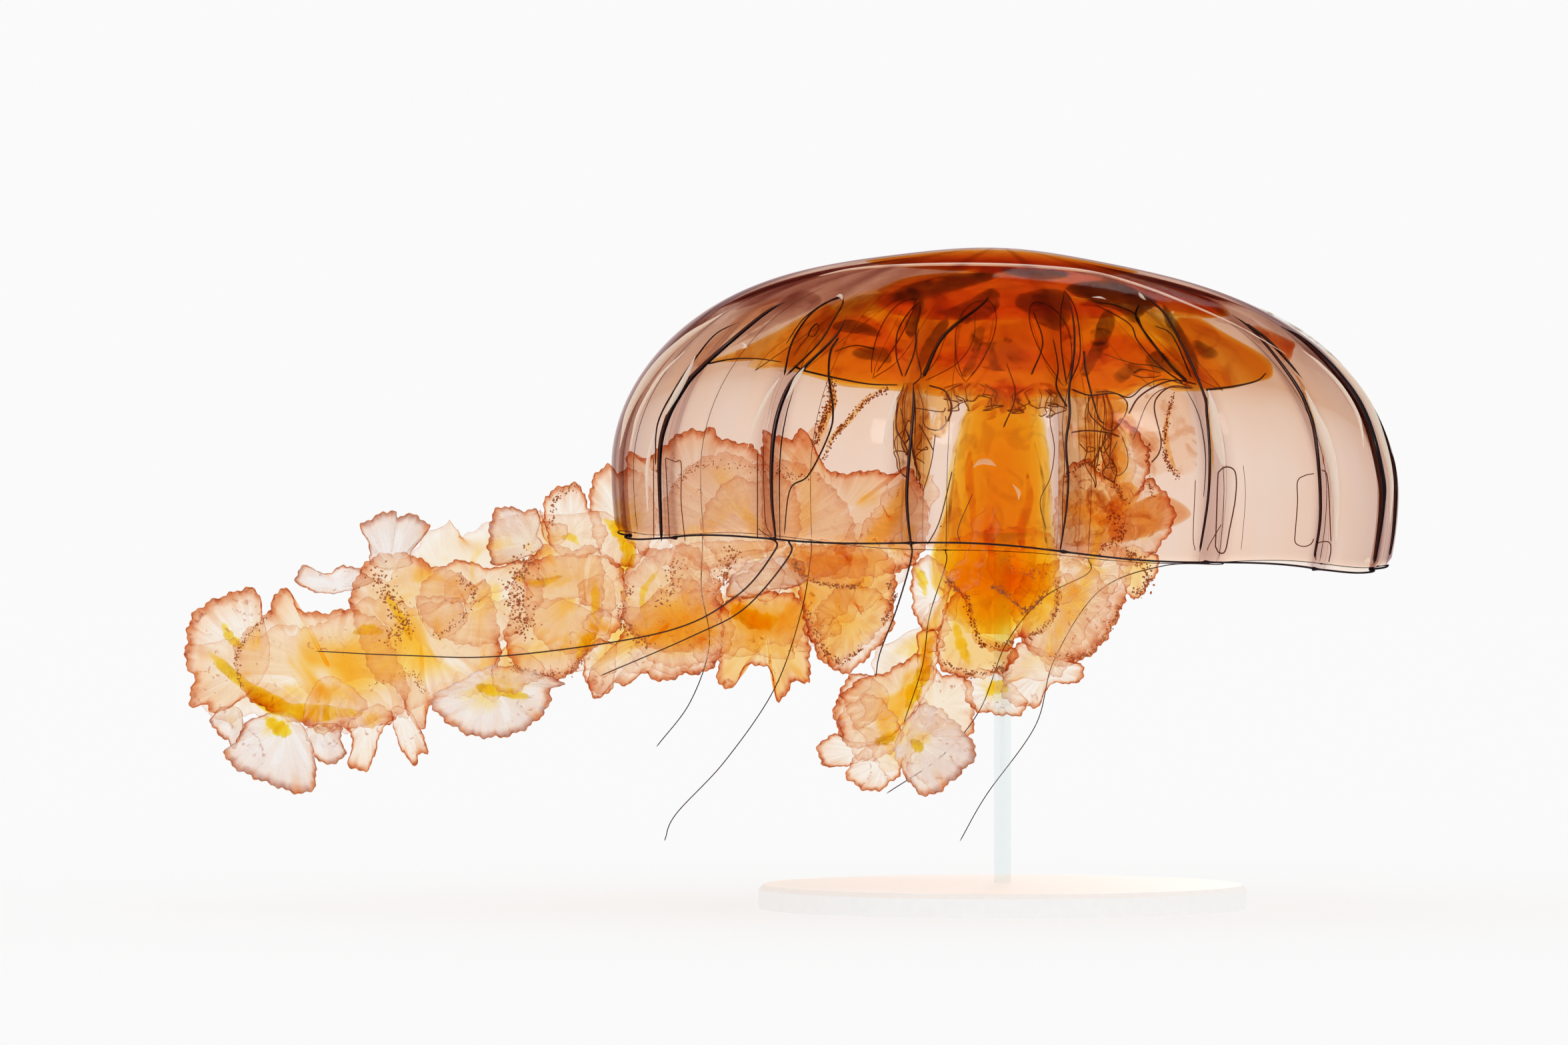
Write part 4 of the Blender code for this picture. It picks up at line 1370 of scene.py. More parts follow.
    def build_rim(self) -> None:
        """The thin dark cord of the margin, with a small knot at each groove."""
        form = self.form
        model = Model()
        count = self.rim_steps
        path, frames, sizes = [], [], []
        for step in range(count + 1):
            angle = form.first_groove + tau * (step % count) / count
            path.append(form.skin(angle, 0, self.skin_depth / 2))
            frames.append((Vector((sin(angle), -cos(angle), 0)), Vector((0, 0, 1))))
            turns = step / count * form.panels
            near = 1 - abs(2 * (turns % 1) - 1)
            size = self.rim_radius + self.node_radius * (1 - smooth_step(near / 0.07))
            sizes.append(size * (0.4 + 0.6 * smooth_step(0.5 + 3 * cos(angle))))
        model.tube(path, lambda u: sizes[round(u * count)], frames=frames)
        model.finish("margin_cord", StrandFinish("margin_cord", edge=(0.05, 0.01, 0.01)).make(), "bell_clear")

    def add_pane(self, model: Model, pane: Pane) -> None:
        """Lays one cloud or fold, thick inside and thin at its edge.

        Args:
            model: takes the pane.
            pane: its outline and depth.
        """
        middle = [sum(values) / len(pane.outline) for values in zip(*pane.outline)]
        root = Vector((middle[0] * MM, 0, middle[1] * MM))
        spokes = spokes_of(pane.outline, root, 0.9 * MM)
        count = len(spokes) - 1

        def place(u: float, v: float) -> Vector:
            """The pane, a little crumpled.

            Args:
                u: round its outline.
                v: outwards from its middle.

            Returns:
                The point.
            """
            flat = root + spokes[round(u * count)] * v
            crumple = 0.5 * MM * sin(flat.x / (2.3 * MM)) * sin(flat.z / (3.1 * MM))
            return self.form.front(flat.x, flat.z, pane.deep * MM + crumple)

        def gel(u: float, v: float) -> float:
            """Full inside and nothing at the rim."""
            inwards = spokes[round(u * count)].length * (1 - v)
            return pane.thick * MM / self.fold_depth * smooth_step(inwards / (pane.soft * MM) + 0.04)

        rows = max(6, round(max(spoke.length for spoke in spokes) / (1.1 * MM)))
        model.sheet(count, rows, place, (count / 10, 1), gel=gel, weld=True)

    def build_stains(self) -> None:
        """The clouds, folds and streaks of the front half, the pale streaks being painted highlights, each
        stain one piece of each kind.
        """
        panes = {stain: Model() for stain in Stain}
        streaks = {stain: Model() for stain in Stain}
        for pane in PANES:
            self.add_pane(panes[pane.stain], pane)
        for streak in STREAKS:

            def radius(u: float) -> float:
                """Follows its half widths and closes at both ends."""
                return eased(streak.halves, u) * MM * max(0.02, sin(pi * u)) ** 0.4

            streaks[streak.stain].tube(self.drawn(streak.points, streak.deep, 40), radius, 10)
        for models, kind, depth in ((panes, "", self.fold_depth), (streaks, "_streaks", 0)):
            for stain, model in models.items():
                if model.shape.verts:
                    model.finish(f"bell_{stain.value}{kind}", STAIN_FINISHES[stain].make(), "bell_smoky",
                                 thickness=depth, thin=0.02)

    def build_pockets(self) -> None:
        """Fine outlines of the pockets that stand on the margin and of the folds above them."""
        model = Model()
        for strand in POCKET_LINES:
            model.tube(self.drawn(strand.points, strand.deep, 56), lambda u: 1.4 * strand.half * MM)
        fine = StrandFinish("pocket_line", (0.20, 0.085, 0.055), (0.42, 0.20, 0.12), 0.25, 0.6)
        model.finish("pocket_lines", fine.make(), "bell_clear")

    def build_crease_highlight(self) -> None:
        """A painted highlight: a pale cord along the fold at the foot of the boss, which runs down the
        shoulder at its +X end, stands in for the light that the fold's edge catches.
        """
        path = self.drawn(self.crease_highlight, 0.9, 90)
        model = Model()
        model.tube(path, lambda u: 0.42 * MM * sin(pi * u) ** 0.5 * (1.15 - 0.5 * u), 8)
        # Pale cream flesh that scatters light: the painted highlight.
        finish = AmberFinish("crown_crease_highlight", (1, 20, 40), blots=0, flesh=(1, 0.90, 0.82), share=0.8)
        model.finish("crown_crease_highlight", finish.make(), "bell_smoky")

    def build(self) -> None:
        """Builds every piece of the bell."""
        self.build_skin()
        self.build_crown()
        self.build_veil()
        self.build_core()
        self.build_strands()
        self.build_pleats()
        self.build_stains()
        self.build_pockets()
        self.build_rim()
        self.build_crease_highlight()


@dataclass
class Stomach:
    """The amber stomach, its dark septa and petal folds, the manubrium and the gonads."""

    form: BellForm
    seed: int = 7
    sag: float = 4.5 * MM
    core_radius: float = 46.0 * MM
    stalk: Sequence[float] = (8, 9, 10.8, 12, 12.6, 13, 13.8, 15, 14.2, 10.5, 5)
    manubrium_low: float = -21.0 * MM
    manubrium_lean: float = 3 * MM
    gonad_radius: float = 25 * MM
    gonads: Sequence[float] = (70, 160, 250, 340)
    gonad_drop: float = 2 * MM
    petal_rise: float = 8 * MM

    def build_stomach(self) -> None:
        """A domed amber lens whose floor sags between its sixteen holds, with a lobed body within it."""
        form = self.form
        model, core = Model(), Model()

        def place(u: float, v: float) -> Vector:
            """The roof and the floor of the lens.

            Args:
                u: round the axis.
                v: roof over a half, floor below it.

            Returns:
                The point.
            """
            angle = form.first_groove + tau * u
            share = sin(pi / 2 * (1 - abs(2 * v - 1)))
            slack = 1 - abs(cos(form.panels / 2 * (angle - form.first_groove)))
            radius = form.stomach_radius * share
            radius *= 1 - 0.05 * slack * share**4 - 0.10 * max(0.0, sin(angle)) ** 2
            if v > 0.5:
                return form.place(angle, radius, form.stomach_height(form.stomach_radius * share))
            drop = self.sag * (1 - share**2) + 1.6 * MM * slack * share**3 * (1 - share) * 4
            under = form.place(angle, radius, form.floor - drop)
            edge = eased(STOMACH_EDGE, (under.x / MM + 80) / 155) * MM + 3.5 * MM * (under.y / (60 * MM)) ** 2
            under.z += (max(edge, 128 * MM) - under.z) * smooth_step((1 - share) / 0.12)
            return under

        def inner(u: float, v: float) -> Vector:
            """The body within.

            Args:
                u: round the axis.
                v: from its lowest point to its highest.

            Returns:
                The point.
            """
            angle = form.first_groove + tau * u
            reach = self.core_radius * (1 + 0.14 * sin(5 * angle + 1) + 0.09 * sin(11 * angle))
            return form.place(angle, reach * sin(pi * v), form.floor + 12 * MM - 10.5 * MM * cos(pi * v))

        model.sheet(192, 44, place, weld=True)
        finish = AmberFinish("stomach_amber", (0.4, 9.4, 44), (0.88, 0.60, 0.45), 0.45, 46)
        model.finish("stomach_pouch", finish.make(), "stomach_amber", ["stomach"])
        core.sheet(144, 32, inner, weld=True)
        deep = AmberFinish("stomach_core", (0.8, 7, 80), (0.88, 0.60, 0.45), 0.5, 75)
        core.finish("stomach_core", deep.make(), "stomach_amber")

    def build_manubrium(self) -> None:
        """The four-cornered amber stalk of the mouth."""
        form = self.form
        model = Model()

        def place(u: float, v: float) -> Vector:
            """The stalk's pleated wall.

            Args:
                u: round the stalk.
                v: down it.

            Returns:
                The point.
            """
            share = min(1.0, v * 1.08)
            angle = tau * u
            lobed = 1 + 0.16 * cos(4 * angle - 1.2) * share
            pleats = 1 + 0.035 * sin(13 * angle + 6 * share) + 0.02 * sin(29 * angle - 9 * share)
            closed = smooth_step(min(v / 0.04, (1 - v) / 0.04, 1.0))
            radius = eased(self.stalk, share) * MM * lobed * pleats * closed
            height = form.floor + (self.manubrium_low - form.floor) * share
            return form.place(angle, radius, height) - Vector((self.manubrium_lean * share, 0, 0))

        model.sheet(144, 60, place, weld=True)
        finish = AmberFinish("manubrium_amber", (4, 50, 260), blots=0.28, scale=95, gloss=0.006)
        model.finish("manubrium_stalk", finish.make(), "stomach_amber", ["manubrium"])

    def build_gonads(self) -> None:
        """Four folded bands that hang under the stomach's floor."""
        form = self.form
        finish = AmberFinish("gonad_folds", (24, 120, 460), (0.82, 0.62, 0.42), 0.45, 260,
                             flesh=(0.80, 0.50, 0.25), share=0.06)
        material = finish.make()
        edges = Model()
        for index, degrees in enumerate(self.gonads):
            model = Model()
            hang, wide = (7, 7.4) if index % 2 else (24, 4.8)

            def place(u: float, v: float) -> Vector:
                """A band folded to and fro.

                Args:
                    u: round the horseshoe.
                    v: from its root down to its edge.

                Returns:
                    The point.
                """
                around = tau * (0.08 + 0.84 * u)
                fold = 2.6 * sin(9 * around + 2 * index) * (0.25 + 0.75 * v)
                fold += 0.8 * sin(23 * around + index) * v
                reach = (wide + fold) * MM * (0.45 + 0.55 * smooth_step(v / 0.4)) * (1 - 0.30 * v)
                ragged = 0.72 + 0.20 * sin(3 * around + 3 * index) + 0.12 * sin(7 * around)
                angle = radians(degrees) + reach * sin(around) * 1.15 / (28 * MM)
                height = form.floor - self.gonad_drop - hang * MM * v * ragged
                return form.place(angle, self.gonad_radius - reach * cos(around) * 0.9, height)

            model.sheet(150, 12, place, (6, 1), gel=lambda u, v: v)
            model.finish(f"gonad_folds_{index + 1}", material, "gonad", [f"gonad_{index + 1}"],
                         thickness=0.5 * MM, thin=0.5)
            edges.tube([place(step / 150, 1) for step in range(151)], lambda u: 0.14 * MM)
            for crest in range(1, 8):
                edges.tube([place(crest / 8, step / 12) for step in range(13)], lambda u: 0.10 * MM, 5)
        edge = StrandFinish("gonad_edges", (0.22, 0.08, 0.02), (0.45, 0.20, 0.05), 0.3, 0.6)
        edges.finish("gonad_edges", edge.make(), "gonad")

    def build_septa(self) -> None:
        """Dark lines that fan from each groove's inner edge over the stomach's roof, and petal folds."""
        form = self.form
        rng = random.Random(self.seed)
        lines, petals = Model(), Model()
        for angle in map(form.groove, range(form.panels)):
            if cos(angle) > -0.2:
                continue
            foot = form.place(angle, form.stomach_radius, form.floor - 0.5 * MM)
            for side in (-1, 1):
                far = angle + radians(side * rng.uniform(5, 11) + rng.uniform(-2, 2))
                radius = rng.uniform(26, 48) * MM
                middle = form.place(angle + 0.55 * (far - angle), 58 * MM, (50 + rng.uniform(-2, 2)) * MM)
                end = form.place(far, radius, form.stomach_height(radius) + 0.8 * MM)
                thick = rng.uniform(0.06, 0.12) * MM
                lines.tube(smooth_path([foot, middle, end], 30), lambda u: thick * (1.1 - 0.7 * u))
            if abs(sin(angle)) < 0.6:
                self.add_petal(lines, petals, angle, rng)
        dark = StrandFinish("septa_line", (0.10, 0.02, 0.008), (0.45, 0.14, 0.03), 0.4, 0.7)
        lines.finish("septa_lines", dark.make(), "stomach_amber")
        finish = AmberFinish("petal_folds", (20, 200, 700), (0.80, 0.55, 0.40), 0.4, 120)
        petals.finish("petal_folds", finish.make(), "stomach_amber", thickness=0.5 * MM)

    def add_petal(self, lines: Model, petals: Model, angle: float, rng: random.Random) -> None:
        """Adds a leaf-shaped fold under the crown.

        Args:
            lines: takes the outline.
            petals: takes the leaf.
            angle: the groove that it hangs from.
            rng: for its size and lean.
        """
        form = self.form
        wide, lean = radians(rng.uniform(4, 6.5)), radians(rng.uniform(-5, 8))
        inner = rng.uniform(30, 42) * MM
        foot, floor = form.stomach_radius, form.floor
        climb = form.outer_height(inner) - self.petal_rise - floor

        def leaf(s: float, t: float) -> Vector:
            """The leaf.

            Args:
                s: along it from its foot.
                t: across it, from -1 to 1.

            Returns:
                The point.
            """
            turn = angle + lean * s + wide * sin(pi * s) ** 0.75 * t
            radius = foot + (inner - foot) * s - 2 * MM * abs(t) * sin(pi * s)
            return form.place(turn, radius, floor + climb * sin(pi / 2 * s) ** 0.9)

        petals.sheet(20, 8, lambda u, v: leaf(0.04 + 0.92 * u, 2 * v - 1))
        turns = [tau * step / 48 for step in range(48)]
        outline = [leaf(0.5 - 0.48 * cos(turn), copysign(1, sin(turn + 1e-9))) for turn in turns]
        lines.tube(outline, lambda u: 0.13 * MM)

    def build(self) -> None:
        """Builds every piece under the crown."""
        self.build_stomach()
        self.build_manubrium()
        self.build_gonads()
        self.build_septa()


# ---------------------------------------------------------------- the oral arms


@dataclass(frozen=True)
class Blade:
    """A broad lobe: its root, its tone, its outline round the root seen from -Y and how deep its edge is
    ruffled, in millimetres, and its slope towards +Y as X and Z grow."""

    root: tuple[float, float, float]
    tone: Tone
    outline: Points
    ruffle: float = 1.8
    slope: tuple[float, float] = (0.1, 0.1)


@dataclass(frozen=True)
class Gel:
    """A strip of amber gel: its points and its radii in millimetres."""

    points: Route
    radii: Sequence[float]


@dataclass(frozen=True)
class Belt:
    """A belt of small brown grains: its points, its half width and how many grains it has."""

    points: Route
    half: float
    count: int
    size: float = 0.24


@dataclass
class Arm:
    """An oral arm: a ruffled ribbon on a rib, broad lobes with knobbly rims, strips of gel and grains.

    Its rib, how far the ribbon reaches above and below it, its turn at both ends and its lobes, strips
    and belts are given; the rest is the same for all arms.
    """

    name: str
    rib: Route
    upper: Sequence[float]
    lower: Sequence[float]
    turn: tuple[float, float]
    phase: float
    lengths: int
    blades: Sequence[Blade]
    gels: Sequence[Gel]
    belts: Sequence[Belt]
    seed: int
    narrow: float = 0.55
    fillers: int = 5
    step: float = 0.8 * MM
    ruffle_pitch: float = 24 * MM
    ruffle_depth: float = 6.5 * MM
    crimp_pitch: float = 1.5 * MM
    knob_pitch: float = 2.1 * MM
    thickness: float = 1.0 * MM
    thin: float = 0.12
    covered: float = 0.25
    grain_depth: float = 0.6
    core_middle: float = -2
    core_half: float = 18
    core_foot: float = 84
    fan: Points = ((180, 0.15), (-70, 0.5), (-45, 0.95), (-15, 1.1), (15, 1), (45, 1.1), (70, 0.5))
    beside: Sequence[Blade] = ()

    def __post_init__(self) -> None:
        """Measures the rib."""
        self.path = smooth_path([Vector(point) * MM for point in self.rib], 241)
        self.reached = walked(self.path)
        self.length = self.reached[-1]
        self.rng = random.Random(self.seed)

    def frame(self, along: float) -> tuple[Vector, Vector, Vector]:
        """Reads the rib at a distance along it.

        Args:
            along: the distance.

        Returns:
            The rib's point, the frill's direction and its normal.
        """
        held = max(0.0, min(self.length, along))
        index, share = spot(self.reached, held)
        ahead = self.path[min(len(self.path) - 1, index + 4)] - self.path[max(0, index - 3)]
        ahead.normalize()
        normal = Vector((0, -1, 0))
        normal = (normal - normal.dot(ahead) * ahead).normalized()
        side = ahead.cross(normal)
        turn = radians(self.turn[0] + (self.turn[1] - self.turn[0]) * held / self.length)
        point = self.path[index].lerp(self.path[index + 1], share)
        return point, side * cos(turn) + normal * sin(turn), normal * cos(turn) - side * sin(turn)

    def surface(self, along: float, across: float) -> Vector:
        """A point of the ribbon.

        Args:
            along: how far along the rib.
            across: from -1 at its lower edge to 1.

        Returns:
            The point.
        """
        point, side, normal = self.frame(along)
        above = across > 0
        out = abs(across)
        turn = tau * along / MM
        part = along / self.length
        lobe = 0.10 * sin(turn / 39 + self.phase + (1.7 if above else 0))
        reach = eased(self.upper if above else self.lower, part) * MM * self.narrow
        reach *= out * (1 + lobe * smooth_step(part / 0.2))
        scallop = sin(turn / 9.7 + 2 * sin(turn / 31)) + 0.5 * sin(turn / 4.1 + 3 * sin(turn / 19))
        reach += 0.9 * MM * scallop * out**5
        wave = tau * along / self.ruffle_pitch + self.phase + (2.1 if above else 0)
        depth = self.ruffle_depth * out**1.4 * sin(wave) + 0.8 * MM * out**4 * sin(3.1 * wave + 4 * across)
        depth *= smooth_step(along / (30 * MM))
        depth += 0.2 * MM * out**10 * sin(tau * along / self.crimp_pitch)
        return point + side * copysign(reach, across) + normal * depth

    def add_ribbon(self, film: Model, rims: Model) -> None:
        """Lays the ribbon and the rims along its two edges.

        Args:
            film: takes the ribbon.
            rims: takes its rims.
        """
        columns = round(self.length / self.step)
        start = 4 * MM

        def place(u: float, v: float) -> Vector:
            """A point of the ribbon, from edge to edge along v."""
            return self.surface(start + (self.length - start) * u, 2 * v - 1)

        film.sheet(columns, 24, place, (self.length / (10 * MM), 1),
                   gel=lambda u, v: 0.7 * smooth_step((1 - abs(2 * v - 1)) / 0.5), bare=lambda u, v: 0.15)
        film.fold_map()
        for v in (0, 1):
            edge = [place(step / columns, v) for step in range(columns + 1)]
            self.add_rim(rims, edge, [self.covered] * len(edge))

    def add_rim(self, rims: Model, edge: Sequence[Vector], free: Sequence[float]) -> None:
        """Adds a knobbly cord.

        Args:
            rims: takes the cord.
            edge: the points of the edge.
            free: its share of full size at each point.
        """
        phase = self.rng.uniform(0, tau)
        knobs = walked(edge)[-1] / self.knob_pitch

        def radius(u: float) -> float:
            """The cord's knobs.

            Args:
                u: along the edge.

            Returns:
                The radius.
            """
            swell = 0.5 + 0.5 * sin(tau * knobs * u + phase)
            slow = 0.5 + 0.5 * sin(tau * knobs * u / 5.3 + 2 * phase)
            return (0.09 + 0.12 * swell * slow + 0.06 * slow) * MM * free[round(u * (len(edge) - 1))]

        rims.tube(edge, radius, 5)

    def add_blade(self, film: Model, rims: Model, blade: Blade) -> None:
        """Adds one broad lobe.

        Args:
            film: takes the lobe.
            rims: takes its rim.
            blade: its outline and place.
        """
        rng = self.rng
        root = Vector(blade.root) * MM
        spokes = spokes_of(blade.outline, root, 0.5 * MM)
        columns = len(spokes) - 1
        around = columns * 0.5 * MM
        free_rim = self.free_rim(blade, [root + spoke for spoke in spokes[:-1]])
        widest = max(spoke.length for spoke in spokes)
        whole = [round(around / pitch) for pitch in (13 * MM, 5.2 * MM, self.knob_pitch, self.crimp_pitch)]
        phases = [rng.uniform(0, tau) for _ in range(4)]
        slope_x, slope_z = blade.slope

        def place(u: float, v: float) -> Vector:
            """The ruffled lobe.

            Args:
                u: round its outline.
                v: outwards from its root.

            Returns:
                The point.
            """
            turn = tau * u
            spoke = spokes[round(u * columns)]
            free = min(1, spoke.length / (0.5 * widest))
            knob = 0.32 * sin(whole[1] * turn + phases[1]) + 0.22 * sin(whole[2] * turn + phases[2])
            point = root + spoke * v + spoke.normalized() * knob * MM * v**6 * free
            wave = sin(whole[0] * turn + phases[0] + 0.8 * sin(2 * turn))
            depth = blade.ruffle * MM * v**2.5 * free * wave
            depth += 0.35 * blade.ruffle * MM * v**4 * free * sin(whole[1] * turn + phases[3])
            depth += 0.20 * MM * v**9 * free * sin(whole[3] * turn)
            point.y += slope_x * spoke.x * v + slope_z * spoke.z * v + depth
            return point

        def thick(u: float, v: float) -> float:
            """The lobe's thickness, full inside and thin at the rim.

            Args:
                u: round its outline.
                v: outwards from its root.

            Returns:
                The share of full thickness.
            """
            spoke = spokes[round(u * columns)]
            below = smooth_step((90 * MM - root.z - spoke.z * v) / (6 * MM)) if blade.tone is DEEP else 1
            return smooth_step(0.1 + spoke.length * (1 - v) / (4.5 * MM)) * below

        rows = max(8, round(widest / (1.8 * MM)))
        film.sheet(columns, rows, place, (around / (10 * MM), 1), gel=thick, weld=True,
                   bare=lambda u, v: free_rim[round(u * columns) % columns])
        edge = [place(step / columns, 1) for step in range(columns)]
        far = max((point - root).length for point in edge)
        sizes = [free * max(0.15, smooth_step(((point - root).length / far - 0.25) / 0.25))
                 for free, point in zip(free_rim, edge)]
        self.add_rim(rims, edge, sizes)

    def free_rim(self, blade: Blade, edge: Sequence[Vector]) -> list[float]:
        """How far each point of a lobe's edge stands free, seen from -Y.

        Args:
            blade: the lobe.
            edge: the points of its edge.

        Returns:
            1 where it is free, and less where another lobe covers or backs it.
        """
        flags = []
        for point in edge:
            seen = (point.x / MM, point.z / MM)
            hidden = abs(seen[0] - self.core_middle) < self.core_half and seen[1] > self.core_foot
            hidden = hidden or any(within(seen, other.outline) for other in self.beside if other is not blade)
            flags.append(self.covered if hidden else 1)
        count = len(flags)
        reach = 4
        return [sum(flags[(index + shift) % count] for shift in range(-reach, reach + 1)) / (2 * reach + 1)
                for index in range(count)]

    def fillers_at(self) -> list[Blade]:
        """Small fans that stand off the ribbon to the front and the back all along it.

        Returns:
            The fans.
        """
        made = []
        for index in range(self.fillers):
            part = 0.16 + 0.76 * (index + self.rng.uniform(0.1, 0.9)) / self.fillers
            point, side, _ = self.frame(part * self.length)
            half = self.upper if index % 2 == 0 else self.lower
            way = side if index % 2 == 0 else -side
            root = point / MM + way * 0.15 * eased(half, part)
            aim = atan2(way.z, way.x) + self.rng.uniform(-0.5, 0.5)
            lean = self.rng.choice((-1, 1)) * self.rng.uniform(0.7, 1.1)
            reach = eased(half, part) * self.rng.uniform(0.5, 0.75) * cos(lean)
            outline = []
            for turn, far in self.fan:
                angle = aim + radians(turn)
                outline.append((root.x + far * reach * cos(angle), root.z + far * reach * sin(angle)))
            slope = (tan(lean) * cos(aim), tan(lean) * sin(aim))
            made.append(Blade(tuple(root), Tone.PALE, outline, 1.2, slope))
        return made

    def build_gels(self, material: Material) -> None:
        """Builds the strips of gel.

        Args:
            material: their finish.
        """
        model = Model()
        for gel in self.gels:
            path = smooth_path([Vector(point) * MM for point in gel.points], 40)
            phase = self.rng.uniform(0, tau)

            def radius(u: float) -> float:
                """Swells and shrinks along the strip and closes at its ends."""
                size = eased(gel.radii, u) * (1 + 0.14 * sin(23 * u + phase) + 0.08 * sin(51 * u))
                return size * MM * sin(pi * min(0.5, 2.5 * min(u, 1 - u) + 0.02)) ** 0.7

            model.tube(path, radius, 14)
        if self.gels:
            model.finish(f"{self.name}_gel", material, "frill")

    def build_grains(self, material: Material) -> None:
        """Builds the belts of grains.

        Args:
            material: their finish.
        """
        model = Model()
        for belt in self.belts:
            path = smooth_path([Vector(point) * MM for point in belt.points], 60)
            for _ in range(belt.count):
                point = self.rng.choice(path)
                off = Vector((self.rng.gauss(0, 0.45), self.rng.gauss(0, 0.25), self.rng.gauss(0, 0.45)))
                size = belt.size * MM * self.rng.uniform(0.45, 1.15)
                shape = Matrix.Diagonal((size * self.rng.uniform(0.8, 1.7), size * self.grain_depth, size, 1))
                turn = Matrix.Rotation(self.rng.uniform(0, pi), 4, "Y")
                where = Matrix.Translation(point + off * belt.half * MM)
                bmesh.ops.create_icosphere(model.shape, subdivisions=1, radius=1, matrix=where @ turn @ shape)
        if self.belts:
            model.finish(f"{self.name}_grains", material, "frill")

    def build(self, films: dict[Tone, Material], rim: Material, gel: Material, grain: Material) -> None:
        """Builds the arm's pieces.

        Args:
            films: the finish of each tone.
            rim: that of the rims.
            gel: that of the gel.
            grain: that of the grains.
        """
        sheets = {tone: Model() for tone in Tone}
        rims = Model()
        self.add_ribbon(sheets[Tone.PEACH], rims)
        for blade in (*self.fillers_at(), *self.blades):
            self.add_blade(sheets[blade.tone], rims, blade)
        nodes = [f"{self.name}_{index + 1}" for index in range(self.lengths)]
        for tone, sheet in sheets.items():
            if len(sheet.shape.verts):
                stands_for = nodes if tone is Tone.PEACH else ()
                sheet.finish(f"{self.name}_{tone.value}", films[tone], "frill", stands_for,
                             self.thickness, self.thin)
        rims.finish(f"{self.name}_rims", rim, "frill")
        self.build_gels(gel)
        self.build_grains(grain)


PEACH, WHITE, AMBER, DEEP, PALE = Tone

FILM_FINISHES = {
    PEACH: FilmFinish("peach_film", (30, 172, 395), (0.95, 0.76, 0.60), 0, 0.10),
    WHITE: FilmFinish("white_film", (50, 78, 95), (0.99, 0.96, 0.94), 0.14, 0.75, 2.4),
    AMBER: FilmFinish("amber_film", (52, 425, 1300), (0.95, 0.45, 0.10), 0, 0),
    DEEP: FilmFinish("deep_film", (37, 335, 1800), (0.95, 0.45, 0.10), 0, 0),
    PALE: FilmFinish("pale_film", (19, 94, 200), (0.97, 0.84, 0.74), 0, 0.22),
}

